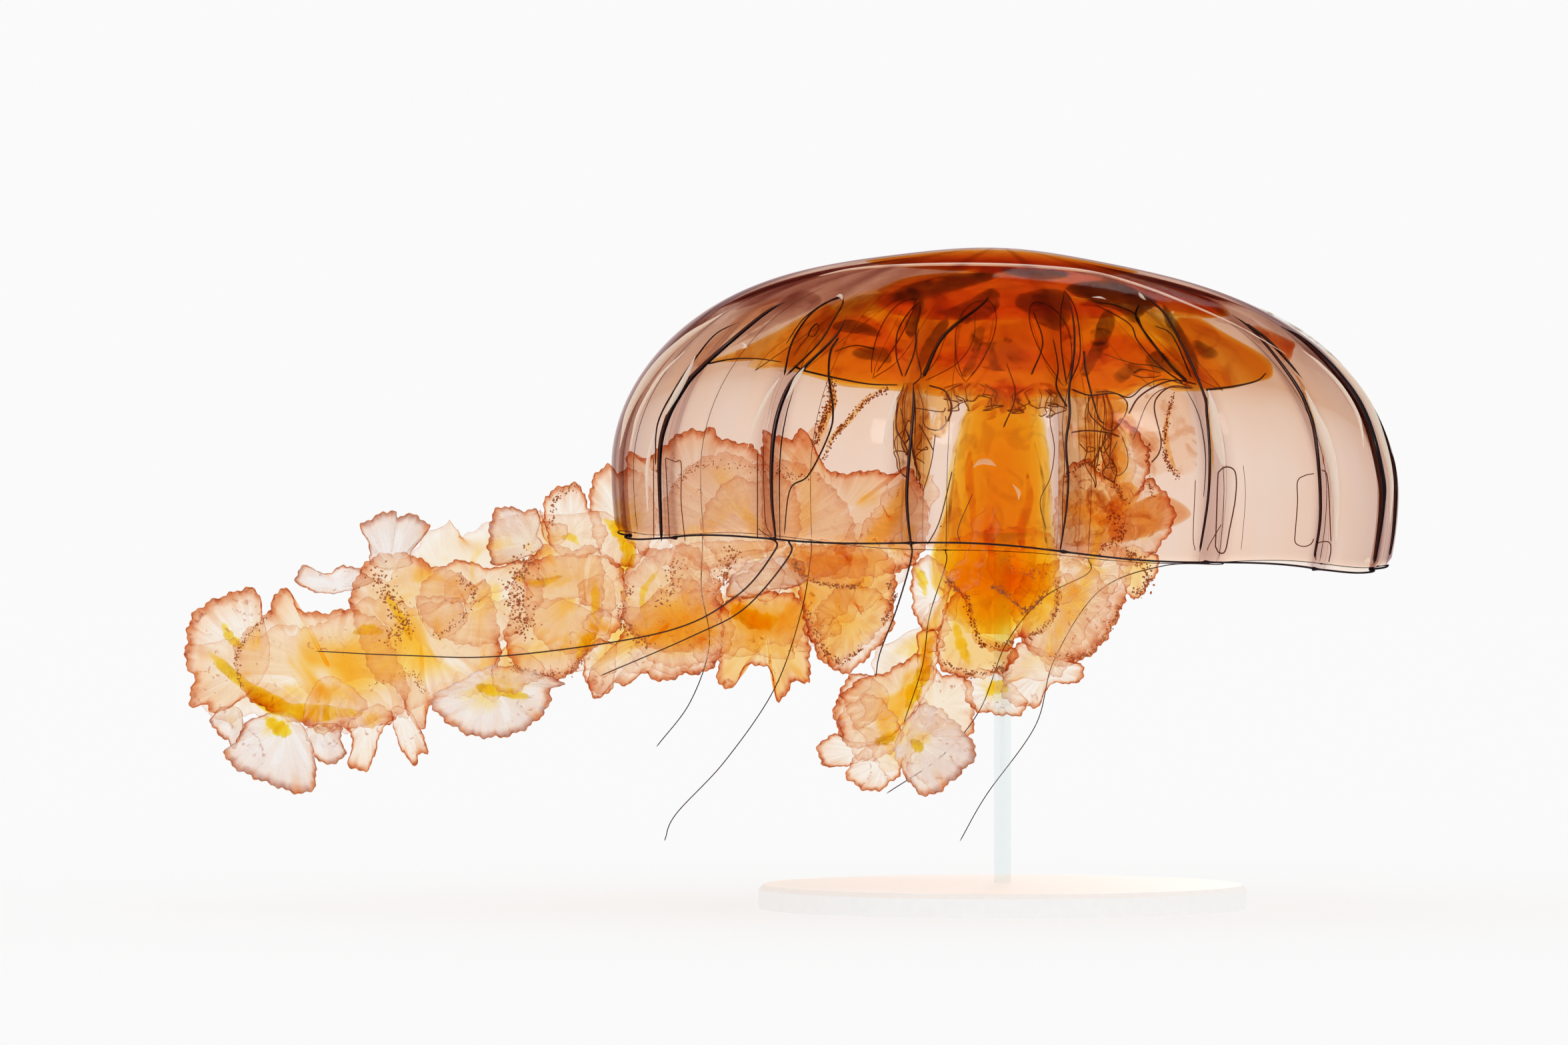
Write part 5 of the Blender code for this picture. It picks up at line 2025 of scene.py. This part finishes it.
ARM_FRONT_LEFT = Arm(
    "arm_front_left",
    rib=[(-23, -13, 112), (-28, -17, 100), (-38, -22, 88), (-55, -26, 78), (-78, -28, 71), (-102, -28, 68),
        (-124, -27, 69), (-146, -24, 66), (-168, -20, 62), (-187, -17, 59), (-204, -16, 60)],
    upper=(4, 10, 18, 19, 17, 15, 17, 23, 24, 21, 12),
    lower=(4, 8, 15, 17, 15, 14, 23, 27, 29, 25, 13),
    turn=(-6, 18),
    phase=0.4,
    lengths=5,
    seed=11,
    fillers=6,
    blades=[
        Blade((-188, -19, 62), PALE, [(-187, 75), (-188, 80), (-192, 81), (-204, 75), (-206, 63), (-204, 59),
            (-205, 52), (-201, 52), (-198, 50), (-189, 56), (-185, 64)], 1.6, (0.1, 0.05)),
        Blade((-170, -17, 61), PEACH, [(-183, 81), (-180, 80), (-178, 76), (-171, 75), (-165, 76),
            (-156, 72), (-154, 66), (-150, 55), (-156, 47), (-176, 47), (-188, 52), (-192, 56), (-194, 67),
            (-186, 75)], 1.5, (-0.06, 0.12)),
        Blade((-147, -24, 72), PEACH, [(-159, 89), (-150, 90), (-144, 87), (-139, 86), (-133, 82),
            (-130, 83), (-127, 68), (-129, 60), (-144, 52), (-146, 46), (-149, 48), (-153, 56), (-159, 60),
            (-164, 76), (-164, 81)], 1.8, (0.12, -0.1)),
        Blade((-112, -18, 75), PEACH, [(-116, 92), (-109, 91), (-103, 92), (-101, 85), (-102, 72),
            (-109, 60), (-115, 59), (-122, 60), (-126, 69), (-124, 76), (-124, 83)], 1.4, (-0.1, 0.15)),
        Blade((-129, -30, 57), WHITE, [(-144, 53), (-135, 45), (-123, 45), (-115, 51), (-114, 56),
            (-111, 58), (-127, 62), (-137, 58)], 1.2, (0.05, 0.15)),
        Blade((-155, -20, 86), WHITE, [(-159, 87), (-160, 93), (-162, 96), (-161, 98), (-154, 101),
            (-153, 99), (-150, 100), (-145, 97), (-149, 91), (-150, 87)], 0.7),
        Blade((-168, -24, 82), WHITE, [(-176, 87), (-171, 85), (-165, 87), (-159, 83), (-170, 80),
            (-178, 83)], 0.5, (0, 0.1)),
        Blade((-181, -22, 48), WHITE, [(-190, 48), (-193, 43), (-196, 40), (-191, 35), (-175, 30),
            (-174, 41), (-180, 50)], 1, (0.05, 0.18)),
        Blade((-194, -15, 51), WHITE, [(-198, 51), (-200, 47), (-196, 43), (-194, 41), (-192, 46),
            (-193, 51)], 0.7),
        Blade((-173, -17, 47), WHITE, [(-176, 46), (-174, 40), (-171, 37), (-166, 39), (-167, 42),
            (-168, 47)], 0.7),
        Blade((-160, -20, 48), PALE, [(-165, 48), (-164, 42), (-165, 37), (-160, 36), (-157, 45), (-154, 49),
            (-158, 52)], 0.6, (0.1, 0.2)),
        Blade((-152, -26, 50), PALE, [(-154, 51), (-152, 42), (-148, 37), (-147, 40), (-145, 41),
            (-149, 50)], 0.4, (0, 0.1)),
        Blade((-101, -24, 63), PALE, [(-106, 62), (-103, 54), (-99, 56), (-98, 60), (-98, 67), (-103, 68)],
            0.9, (0, 0.1)),
        Blade((-84, -26, 73), PALE, [(-86, 91), (-94, 85), (-96, 79), (-96, 70), (-104, 61), (-104, 56),
            (-101, 55), (-98, 58), (-95, 57), (-91, 60), (-86, 58), (-80, 60), (-76, 60), (-72, 64),
            (-71, 74), (-77, 91)], 1.7, (0.05, 0.12)),
        Blade((-81, -18, 70), PEACH, [(-93, 74), (-92, 66), (-86, 62), (-77, 62), (-70, 65), (-69, 74),
            (-81, 84)], 1.5),
        Blade((-60, -30, 70), AMBER, [(-70, 78), (-52, 79), (-49, 60), (-50, 58), (-53, 58), (-57, 53),
            (-59, 61), (-65, 62), (-68, 57), (-72, 58), (-71, 69)], 1.5, (0.05, 0.2)),
        Blade((-60, -26, 84), WHITE, [(-70, 80), (-67, 86), (-60, 89), (-53, 89), (-50, 86), (-52, 82),
            (-58, 81), (-64, 79)], 0.8, (0, 0.2)),
        Blade((-41, -26, 78), AMBER, [(-54, 92), (-37, 92), (-28, 88), (-30, 73), (-43, 62), (-49, 69),
            (-52, 82), (-55, 88)], 1.8, (0.1, 0.15)),
        Blade((-76, -20, 87), PEACH, [(-83, 91), (-76, 93), (-56, 93), (-58, 91), (-67, 90), (-72, 81),
            (-83, 82)], 1.2, (0.1, 0.2)),
        Blade((-45, -33, 88), PEACH, [(-53, 91), (-44, 92), (-36, 91), (-35, 85), (-39, 82), (-51, 84)], 1,
            (0, 0.2)),
        Blade((-38, -20, 72), PALE, [(-47, 76), (-40, 82), (-31, 80), (-28, 72), (-38, 61), (-43, 61),
            (-46, 67)], 1.4),
        Blade((-78, 0, 104), PALE, [(-96, 96), (-95, 115), (-91, 114), (-81, 121), (-77, 121), (-74, 122),
            (-71, 119), (-63, 117), (-60, 110), (-58, 98), (-60, 90), (-75, 86), (-88, 88)], 1.8,
            (0.15, 0.1)),
        Blade((-42, -8, 99), PEACH, [(-61, 118), (-58, 120), (-54, 119), (-50, 121), (-44, 111), (-33, 111),
            (-27, 110), (-24, 112), (-20, 105), (-19, 95), (-25, 86), (-45, 84), (-59, 88)], 1.6,
            (0.15, 0.1)),
        Blade((-66, -12, 97), PALE, [(-69, 109), (-62, 108), (-56, 110), (-52, 104), (-52, 94), (-58, 87),
            (-68, 86), (-75, 92), (-76, 100)], 1.5, (-0.15, 0.1)),
    ],
    gels=[
        Gel([(-201, -19, 66), (-197, -20, 62), (-191, -21, 57), (-184, -21, 52), (-176, -21, 50),
            (-167, -21, 50), (-160, -22, 50)], (0.8, 1.3, 1.6, 2.4, 2.3, 1.6, 0.8)),
        Gel([(-186, -23, 49), (-182, -24, 46), (-179, -24, 45)], (1.2, 2, 1.1)),
        Gel([(-191, -20, 66), (-195, -19, 69), (-197, -19, 73)], (0.9, 1.3, 0.7)),
        Gel([(-156, -25, 81), (-153, -27, 76), (-150, -27, 71), (-149, -26, 68)], (0.5, 1.2, 1, 0.5)),
        Gel([(-164, -21, 70), (-160, -22, 71), (-156, -22, 70)], (0.8, 1.5, 0.8)),
        Gel([(-133, -31, 57), (-129, -32, 56), (-123, -32, 55), (-119, -31, 54)], (0.8, 1.5, 1.3, 0.6)),
        Gel([(-103, -20, 84), (-103, -20, 78), (-103, -21, 72), (-106, -22, 66), (-108, -23, 63)],
            (0.7, 1.3, 1.5, 1.7, 0.8)),
        Gel([(-69, -27, 78), (-66, -28, 75), (-61, -28, 73), (-56, -28, 74)], (1, 2.2, 2.4, 1)),
        Gel([(-87, -27, 86), (-91, -26, 80), (-90, -26, 72)], (0.5, 0.9, 0.5)),
    ],
    belts=[
        Belt([(-120, -26, 89), (-123, -27, 82), (-122, -27, 76), (-120, -27, 71)], 4.2, 230, 0.3),
        Belt([(-158, -27, 85), (-154, -28, 79), (-151, -28, 73), (-154, -26, 68)], 3.2, 190, 0.27),
        Belt([(-186, -23, 74), (-190, -23, 70), (-193, -23, 64), (-192, -23, 57)], 0.8, 110, 0.2),
        Belt([(-137, -28, 84), (-133, -28, 80), (-136, -28, 74), (-143, -28, 69)], 1.3, 120, 0.22),
        Belt([(-124, -27, 62), (-118, -28, 60), (-110, -28, 60), (-106, -27, 64)], 1.2, 110),
        Belt([(-94, -30, 81), (-96, -30, 73), (-89, -30, 66)], 2, 120, 0.22),
        Belt([(-69, -24, 91), (-70, -25, 86), (-72, -26, 82)], 2.4, 110),
        Belt([(-53, -36, 88), (-50, -36, 84), (-43, -36, 82), (-37, -36, 82)], 0.8, 130),
        Belt([(-50, -31, 76), (-47, -30, 68), (-42, -29, 63), (-36, -29, 66)], 1.1, 130),
        Belt([(-29, -29, 83), (-28, -29, 78), (-31, -28, 72)], 0.9, 90),
        Belt([(-145, -27, 55), (-150, -27, 60), (-160, -25, 57)], 1.6, 60, 0.18),
        Belt([(-86, -30, 77), (-82, -29, 88)], 2.6, 80, 0.22),
        Belt([(-44, -64, 133), (-44, -64, 128), (-46, -64, 123), (-48, -64, 117)], 1.2, 260),
        Belt([(-30, -68, 131), (-35, -68, 128), (-40, -68, 123), (-43, -66, 119), (-46, -64, 113)], 0.8, 240,
            0.22),
    ],
)

ARM_BACK_LEFT = Arm(
    "arm_back_left",
    rib=[(-18, 19, 114), (-21, 24, 102), (-30, 38, 89), (-44, 56, 78), (-62, 72, 71), (-84, 82, 76),
        (-104, 76, 87), (-124, 60, 90), (-144, 44, 85), (-162, 34, 76)],
    upper=(4, 12, 20, 20, 12, 15, 20, 18, 17, 8),
    lower=(4, 8, 14, 14, 16, 20, 22, 22, 18, 9),
    turn=(6, -18),
    phase=1.9,
    lengths=4,
    seed=23,
    fillers=6,
    blades=[
        Blade((-121, 58, 92), WHITE, [(-129, 102), (-124, 101), (-120, 101), (-119, 98), (-120, 95),
            (-119, 91), (-131, 87), (-132, 98)], 1),
        Blade((-112, 66, 94), PALE, [(-118, 104), (-111, 108), (-108, 106), (-107, 102), (-104, 100),
            (-102, 94), (-107, 89), (-116, 91)], 1.2),
        Blade((-97, 72, 97), PALE, [(-106, 108), (-102, 113), (-99, 111), (-95, 112), (-91, 108), (-89, 98),
            (-94, 87), (-102, 88), (-106, 97)], 1.6),
        Blade((-134, 46, 80), PALE, [(-145, 86), (-139, 88), (-131, 86), (-124, 88), (-119, 86), (-118, 78),
            (-124, 70), (-134, 66), (-144, 68), (-150, 74), (-150, 81)], 1.8, (-0.35, 0.1)),
        Blade((-110, 74, 78), PEACH, [(-121, 88), (-102, 89), (-97, 82), (-98, 72), (-105, 65), (-115, 64),
            (-122, 70), (-124, 79)], 1.8, (-0.45, 0.1)),
        Blade((-85, 76, 78), PALE, [(-96, 88), (-88, 91), (-78, 88), (-72, 80), (-74, 70), (-82, 64),
            (-92, 66), (-98, 74)]),
        Blade((-60, 60, 92), PALE, [(-84, 108), (-78, 114), (-70, 116), (-62, 113), (-54, 114), (-46, 110),
            (-38, 100), (-38, 88), (-50, 82), (-66, 82), (-80, 88), (-88, 98)], 2, (0.35, 0.1)),
    ],
    gels=[
        Gel([(-103, 64, 99), (-98, 66, 95), (-96, 66, 89), (-99, 65, 84)], (1.1, 2.1, 1.9, 0.8)),
        Gel([(-114, 62, 94), (-111, 62, 94), (-109, 62, 92)], (0.5, 1.1, 0.5)),
        Gel([(-126, 50, 84), (-120, 52, 82), (-113, 58, 84)], (0.6, 1.2, 0.6)),
    ],
    belts=[
        Belt([(-116, 58, 97), (-115, 58, 104), (-110, 60, 107)], 1, 70, 0.22),
        Belt([(-84, 50, 108), (-76, 50, 113), (-62, 50, 112), (-50, 52, 109)], 1.6, 150, 0.22),
    ],
)

ARM_FRONT = Arm(
    "arm_front",
    rib=[(-3, -24, 106), (-6, -26, 93), (-12, -31, 82), (-19, -37, 71), (-27, -38, 58), (-28, -37, 46),
        (-27, -36, 36)],
    upper=(4, 7, 7, 8, 17, 20, 11),
    lower=(4, 7, 7, 8, 17, 19, 11),
    turn=(0, 14),
    phase=2.6,
    lengths=3,
    seed=37,
    fillers=3,
    narrow=0.42,
    blades=[
        Blade((-26, -36, 53), PEACH, [(-36, 59), (-31, 60), (-21, 65), (-18, 59), (-26, 47), (-34, 42),
            (-40, 43), (-43, 52)], 1.5),
        Blade((-34, -42, 48), PALE, [(-34, 55), (-28, 50), (-26, 44), (-30, 40), (-37, 39), (-42, 49)], 1.2,
            (0.05, 0.1)),
        Blade((-17, -38, 52), PEACH, [(-20, 62), (-16, 60), (-9, 58), (-9, 45), (-18, 45), (-22, 51)], 1.3,
            (-0.1, 0.1)),
        Blade((-23, -44, 44), WHITE, [(-22, 52), (-16, 51), (-8, 42), (-10, 37), (-19, 30), (-24, 33),
            (-28, 42)], 1.3, (0.05, 0.12)),
        Blade((-20, -39, 42), PALE, [(-24, 47), (-19, 50), (-13, 47), (-11, 41), (-15, 35), (-20, 33),
            (-25, 37)], 1.1, (0.05, -0.12)),
        Blade((-36, -40, 41), PALE, [(-47, 42), (-43, 45), (-38, 43), (-32, 43), (-34, 39), (-42, 37),
            (-46, 38)], 0.8),
        Blade((-31, -41, 39), PALE, [(-40, 35), (-34, 31), (-29, 33), (-26, 37), (-28, 42), (-35, 42)], 1),
        Blade((0, -24, 82), DEEP, [(-17, 91), (-5, 96), (11, 95), (14, 83), (13, 76), (9, 70), (3, 69),
            (1, 66), (-4, 66), (-8, 69), (-9, 77), (-15, 84)], 1.3, (0, 0.1)),
        Blade((4, -29, 84), DEEP, [(-4, 90), (12, 91), (12, 83), (5, 75), (2, 78), (-2, 81)], 0.9, (0, 0.1)),
        Blade((-18, -28, 79), PALE, [(-23, 87), (-18, 89), (-14, 83), (-16, 72), (-20, 71), (-23, 76)], 1,
            (0, 0.1)),
        Blade((-9, -32, 71), AMBER, [(-15, 77), (-10, 80), (-7, 71), (-2, 66), (3, 66), (0, 61), (-9, 59),
            (-17, 63)], 1.1, (0, 0.1)),
        Blade((-20, -36, 64), AMBER, [(-22, 70), (-18, 71), (-17, 66), (-18, 59), (-22, 59), (-22, 66)], 0.5,
            (0, 0.1)),
    ],
    gels=[
        Gel([(-33, -43, 43), (-30, -44, 44), (-27, -44, 46)], (0.8, 1.4, 0.7)),
        Gel([(-24, -46, 44), (-22, -46, 42), (-21, -46, 41)], (0.9, 1.5, 0.8)),
        Gel([(-20, -38, 69), (-20, -38, 62), (-23, -39, 56), (-25, -39, 50)], (1.2, 1.6, 2, 1)),
        Gel([(-23, -30, 87), (-21, -31, 84), (-20, -31, 79)], (0.6, 1.3, 0.6)),
        Gel([(-13, -30, 74), (-11, -31, 67), (-9, -31, 62)], (0.8, 1.5, 0.8)),
    ],
    belts=[
        Belt([(-10, -30, 80), (-8, -30, 72), (-5, -30, 67), (2, -30, 68)], 0.9, 150),
        Belt([(6, -30, 69), (12, -30, 74), (13, -30, 83)], 0.8, 110),
        Belt([(-4, -33, 82), (0, -33, 80), (5, -33, 76), (10, -33, 80)], 0.8, 130),
        Belt([(-2, -33, 88), (5, -33, 85), (10, -33, 86)], 1.8, 60, 0.18),
        Belt([(-16, -35, 63), (-8, -35, 60), (0, -35, 62)], 1, 120),
        Belt([(-15, -33, 84), (-12, -34, 81)], 1, 50, 0.22),
    ],
)

ARM_RIGHT = Arm(
    "arm_right",
    rib=[(27, 9, 121), (29, 10, 108), (28, 13, 95), (23, 17, 83), (17, 21, 72), (10, 24, 63), (1, 26, 57)],
    upper=(3, 4, 6, 13, 14, 10, 5),
    lower=(6, 11, 13, 15, 14, 11, 6),
    turn=(0, -12),
    phase=0.9,
    lengths=3,
    seed=53,
    fillers=4,
    narrow=0.42,
    blades=[
        Blade((12, 12, 84), PALE, [(14, 92), (32, 91), (33, 84), (29, 72), (21, 63), (9, 64), (5, 70),
            (9, 80)]),
        Blade((13, 20, 76), PALE, [(6, 84), (14, 88), (24, 86), (28, 77), (24, 67), (15, 61), (7, 66),
            (3, 75)], 1.6, (-0.1, 0.1)),
        Blade((12, 8, 61), PALE, [(4, 67), (15, 63), (21, 61), (19, 57), (14, 57), (11, 55), (9, 51),
            (2, 52), (0, 56)], 1.1),
        Blade((-1, 10, 55), PALE, [(-9, 59), (-2, 60), (6, 53), (5, 49), (-1, 49), (-8, 51)], 0.8),
        Blade((34, 4, 87), AMBER, [(31, 92), (38, 90), (40, 87), (35, 79), (33, 79), (30, 84)], 0.8,
            (0, 0.1)),
        Blade((21, 0, 101), PALE, [(15, 109), (21, 114), (25, 110), (28, 109), (31, 104), (29, 100),
            (30, 95), (18, 88), (13, 94)], 1.4),
        Blade((35, 3, 97), PALE, [(29, 105), (32, 107), (34, 105), (38, 109), (44, 99), (36, 88), (29, 88),
            (27, 96)], 1.4),
        Blade((30, -3, 112), PALE, [(30, 124), (37, 116), (36, 108), (32, 103), (27, 105), (25, 112)], 1.4),
        Blade((24, -6, 96), PEACH, [(18, 101), (21, 104), (25, 102), (29, 103), (31, 98), (29, 91), (24, 87),
            (19, 90)], 1.6),
    ],
    gels=[
        Gel([(-4, 8, 54), (-1, 7, 56), (2, 7, 55)], (1, 1.9, 0.9)),
        Gel([(26, 4, 100), (24, 4, 92), (22, 6, 86)], (0.8, 1.2, 0.7)),
    ],
    belts=[
        Belt([(31, 0, 90), (35, 0, 88), (37, 0, 83), (34, 0, 80)], 1.6, 150, 0.26),
        Belt([(16, -4, 109), (21, -4, 113), (28, -4, 108), (31, -4, 103)], 1.1, 120),
        Belt([(28, -4, 100), (30, -4, 95), (24, -5, 90)], 1.6, 120),
        Belt([(30, 5, 76), (27, 5, 70), (21, 5, 64), (12, 5, 64)], 0.9, 110, 0.22),
        Belt([(37, -2, 118), (37, -2, 110), (38, -2, 104)], 0.9, 90, 0.2),
        Belt([(41, -56, 130), (39, -56, 121), (39, -56, 114), (42, -56, 109)], 0.7, 200, 0.22),
    ],
)


@dataclass
class Arms:
    """The four oral arms."""

    arms: Sequence[Arm] = (ARM_FRONT_LEFT, ARM_BACK_LEFT, ARM_FRONT, ARM_RIGHT)

    def build(self) -> None:
        """Makes the shared finishes and builds each arm."""
        films = {tone: finish.make() for tone, finish in FILM_FINISHES.items()}
        rim = RimFinish().make()
        gel = AmberFinish("arm_gel", (12, 95, 900), blots=0.25, scale=160).make()
        grain = StrandFinish("grain", (0.62, 0.25, 0.09), (0.80, 0.42, 0.20), 0.2, 0.6).make()
        blades = [blade for arm in self.arms for blade in arm.blades]
        for arm in self.arms:
            arm.beside = blades
            arm.build(films, rim, gel, grain)


@dataclass
class Tentacles:
    """Eight slim dark tentacles: the angle of each on the margin, its drop and its points in millimetres."""

    form: BellForm
    root_radius: float = 0.27 * MM
    far_radius: float = 0.15 * MM
    tip_radius: float = 0.13 * MM
    routes: dict = field(default_factory=lambda: {
        "tentacle_1": (-37.5, 3, [(-67, -79, 80), (-85, -74, 71), (-124, -62, 65), (-150, -56, 65),
                                  (-172, -52, 66)]),
        "tentacle_2": (-34, 4, [(-65, -79, 77), (-78, -74, 70), (-101, -66, 60)]),
        "tentacle_3": (-15, 4, [(-28, -90, 77), (-32, -82, 66), (-33, -76, 60)]),
        "tentacle_4": (187.5, 4, [(-17, 93, 73), (-19, 86, 60), (-24, 80, 45)]),
        "tentacle_5": (142.5, 0.6, [(44, 74, 86.5), (27, 66, 80), (15, 60, 62), (10, 56, 45), (-3, 50, 27),
                                    (-10, 46, 15)]),
        "tentacle_6": (165, 4, [(13, 87, 78), (3, 80, 66), (-4, 72, 49), (-14, 66, 37), (-29, 60, 27)]),
        "tentacle_7": (210, 4, [(-51, 90, 74), (-58, 90, 54), (-71, 87, 35), (-84, 82, 21), (-87, 80, 14)]),
        "tentacle_8": (232.5, 4, [(-77, 61, 80), (-75, 63, 66), (-80, 65, 51), (-89, 68, 39)]),
    })

    def build(self) -> None:
        """Builds each tentacle as one tapering tube."""
        form = self.form
        material = StrandFinish("tentacle_skin", dark=(0.018, 0.006, 0.006), edge=(0.22, 0.07, 0.04)).make()
        for name, (degrees, drop, points) in self.routes.items():
            angle = radians(degrees)
            root = form.skin(angle, 0, 0.6 * MM)
            below = root - Vector((0, 0, drop * MM))
            path = smooth_path([root, below, *[Vector(point) * MM for point in points]], 90)
            model = Model()
            thick, fine = (self.root_radius if cos(angle) > 0 else self.far_radius), self.tip_radius
            model.tube(path, lambda u: thick + (fine - thick) * u**0.7, 8)
            model.finish(name, material, "tentacle", [f"{name}_1", f"{name}_2"])


# ---------------------------------------------------------------- the stand and the room


@dataclass
class Stand:
    """New finishes for the stand's CAD nodes."""

    def build(self) -> None:
        """White satin acrylic for the base, clear acrylic for the rod and its cup."""
        w = Wiring("white_acrylic")
        grain = w.noise(w.coordinates(), 420, 4)
        shade = w.blend(grain, (0.90, 0.90, 0.89), (0.95, 0.95, 0.94))
        surface = w.node("BsdfPrincipled", 0, {"Base Color": shade, "Roughness": w.rise(grain, -1.2, 2.6),
                                               "Normal": w.bump(grain, 0.05 * MM, 0.2)})
        w.tree.links.new(surface, w.output.inputs["Surface"])
        clear = Wiring("clear_acrylic")
        haze = clear.noise(clear.coordinates(), 300, 3)
        clear.absorb((14, 9, 8))
        clear.jelly((0.97, 0.985, 0.985), (0.95, 0.97, 0.97), clear.rise(haze, 0.4, 4), 0.06, 0.05)
        for node, material in (("stand_base", w.material), ("stand_cup", clear.material),
                               ("stand_rod", clear.material)):
            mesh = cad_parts[node].data
            mesh.materials.clear()
            mesh.materials.append(material)


@dataclass
class Studio:
    """A white floor, even white light, soft lamps for the gloss and the camera."""

    white: float = 0.956
    sun: float = 0.32
    sun_angle: float = radians(50)
    paper: float = 0.26
    glow: float = 0.684
    floor_radius: float = 7.0
    aim: tuple[float, float, float] = (-0.0555, 0, 0.0979)
    distance: float = 2.213
    lens: float = 200.0

    def build_floor(self) -> None:
        """A wide pale disc."""
        shape = bmesh.new()
        bmesh.ops.create_circle(shape, cap_ends=True, segments=96, radius=self.floor_radius)
        mesh = bpy.data.meshes.new("floor")
        shape.to_mesh(mesh)
        shape.free()
        w = Wiring("floor_paper")
        paper = w.node("BsdfDiffuse", 0, {"Color": (self.paper, self.paper, self.paper)})
        glow = w.node("Emission", 0, {"Color": (1, 1, 1), "Strength": self.glow})
        w.tree.links.new(w.node("AddShader", 0, {0: paper, 1: glow}), w.output.inputs["Surface"])
        mesh.materials.append(w.material)
        shown("floor", mesh)

    def build_light(self) -> None:
        """The even light all round, a broad sun and two lamps that show only in the gloss."""
        world = bpy.data.worlds.new("studio")
        world.use_nodes = True
        background = world.node_tree.nodes["Background"].inputs
        background["Color"].default_value = (1, 1, 1, 1)
        background["Strength"].default_value = self.white
        bpy.context.scene.world = world
        sun = bpy.data.lights.new("broad_sun", "SUN")
        sun.energy = self.sun
        sun.angle = self.sun_angle
        shown("broad_sun", sun).rotation_euler = (radians(20), radians(12), 0)
        for name, place, size, power in (("window_left", (-0.55, -1, 0.75), 0.35, 9),
                                         ("window_right", (0.7, -0.7, 0.9), 0.25, 5),
                                         ("window_back", (0.2, 1.1, 0.8), 0.3, 5)):
            lamp = bpy.data.lights.new(name, "AREA")
            lamp.size = size
            lamp.energy = power
            window = shown(name, lamp)
            window.location = place
            window.rotation_euler = (Vector(self.aim) - Vector(place)).to_track_quat("-Z", "Y").to_euler()
            window.visible_diffuse = window.visible_transmission = window.visible_camera = False

    def build_camera(self) -> None:
        """A long lens, level with the model's middle."""
        scene = bpy.context.scene
        data = bpy.data.cameras.new("camera")
        data.lens = self.lens
        data.clip_start = 0.01
        camera = shown("camera", data)
        camera.location = Vector(self.aim) - Vector((0, self.distance, 0))
        camera.rotation_euler = (pi / 2, 0, 0)
        scene.camera = camera
        scene.view_settings.view_transform = "Standard"
        scene.cycles.transparent_max_bounces = 128
        scene.cycles.max_bounces = 10
        scene.cycles.diffuse_bounces = 3

    def build(self) -> None:
        """Builds the room."""
        self.build_floor()
        self.build_light()
        self.build_camera()


def main() -> None:
    """Builds the room and then the model, from the bell down."""
    logging.basicConfig(level=logging.INFO, format="%(name)s %(message)s", stream=sys.stdout)
    form = BellForm()
    Studio().build()
    Bell(form).build()
    Stomach(form).build()
    Arms().build()
    Tentacles(form).build()
    Stand().build()


if __name__ == "__main__":
    main()
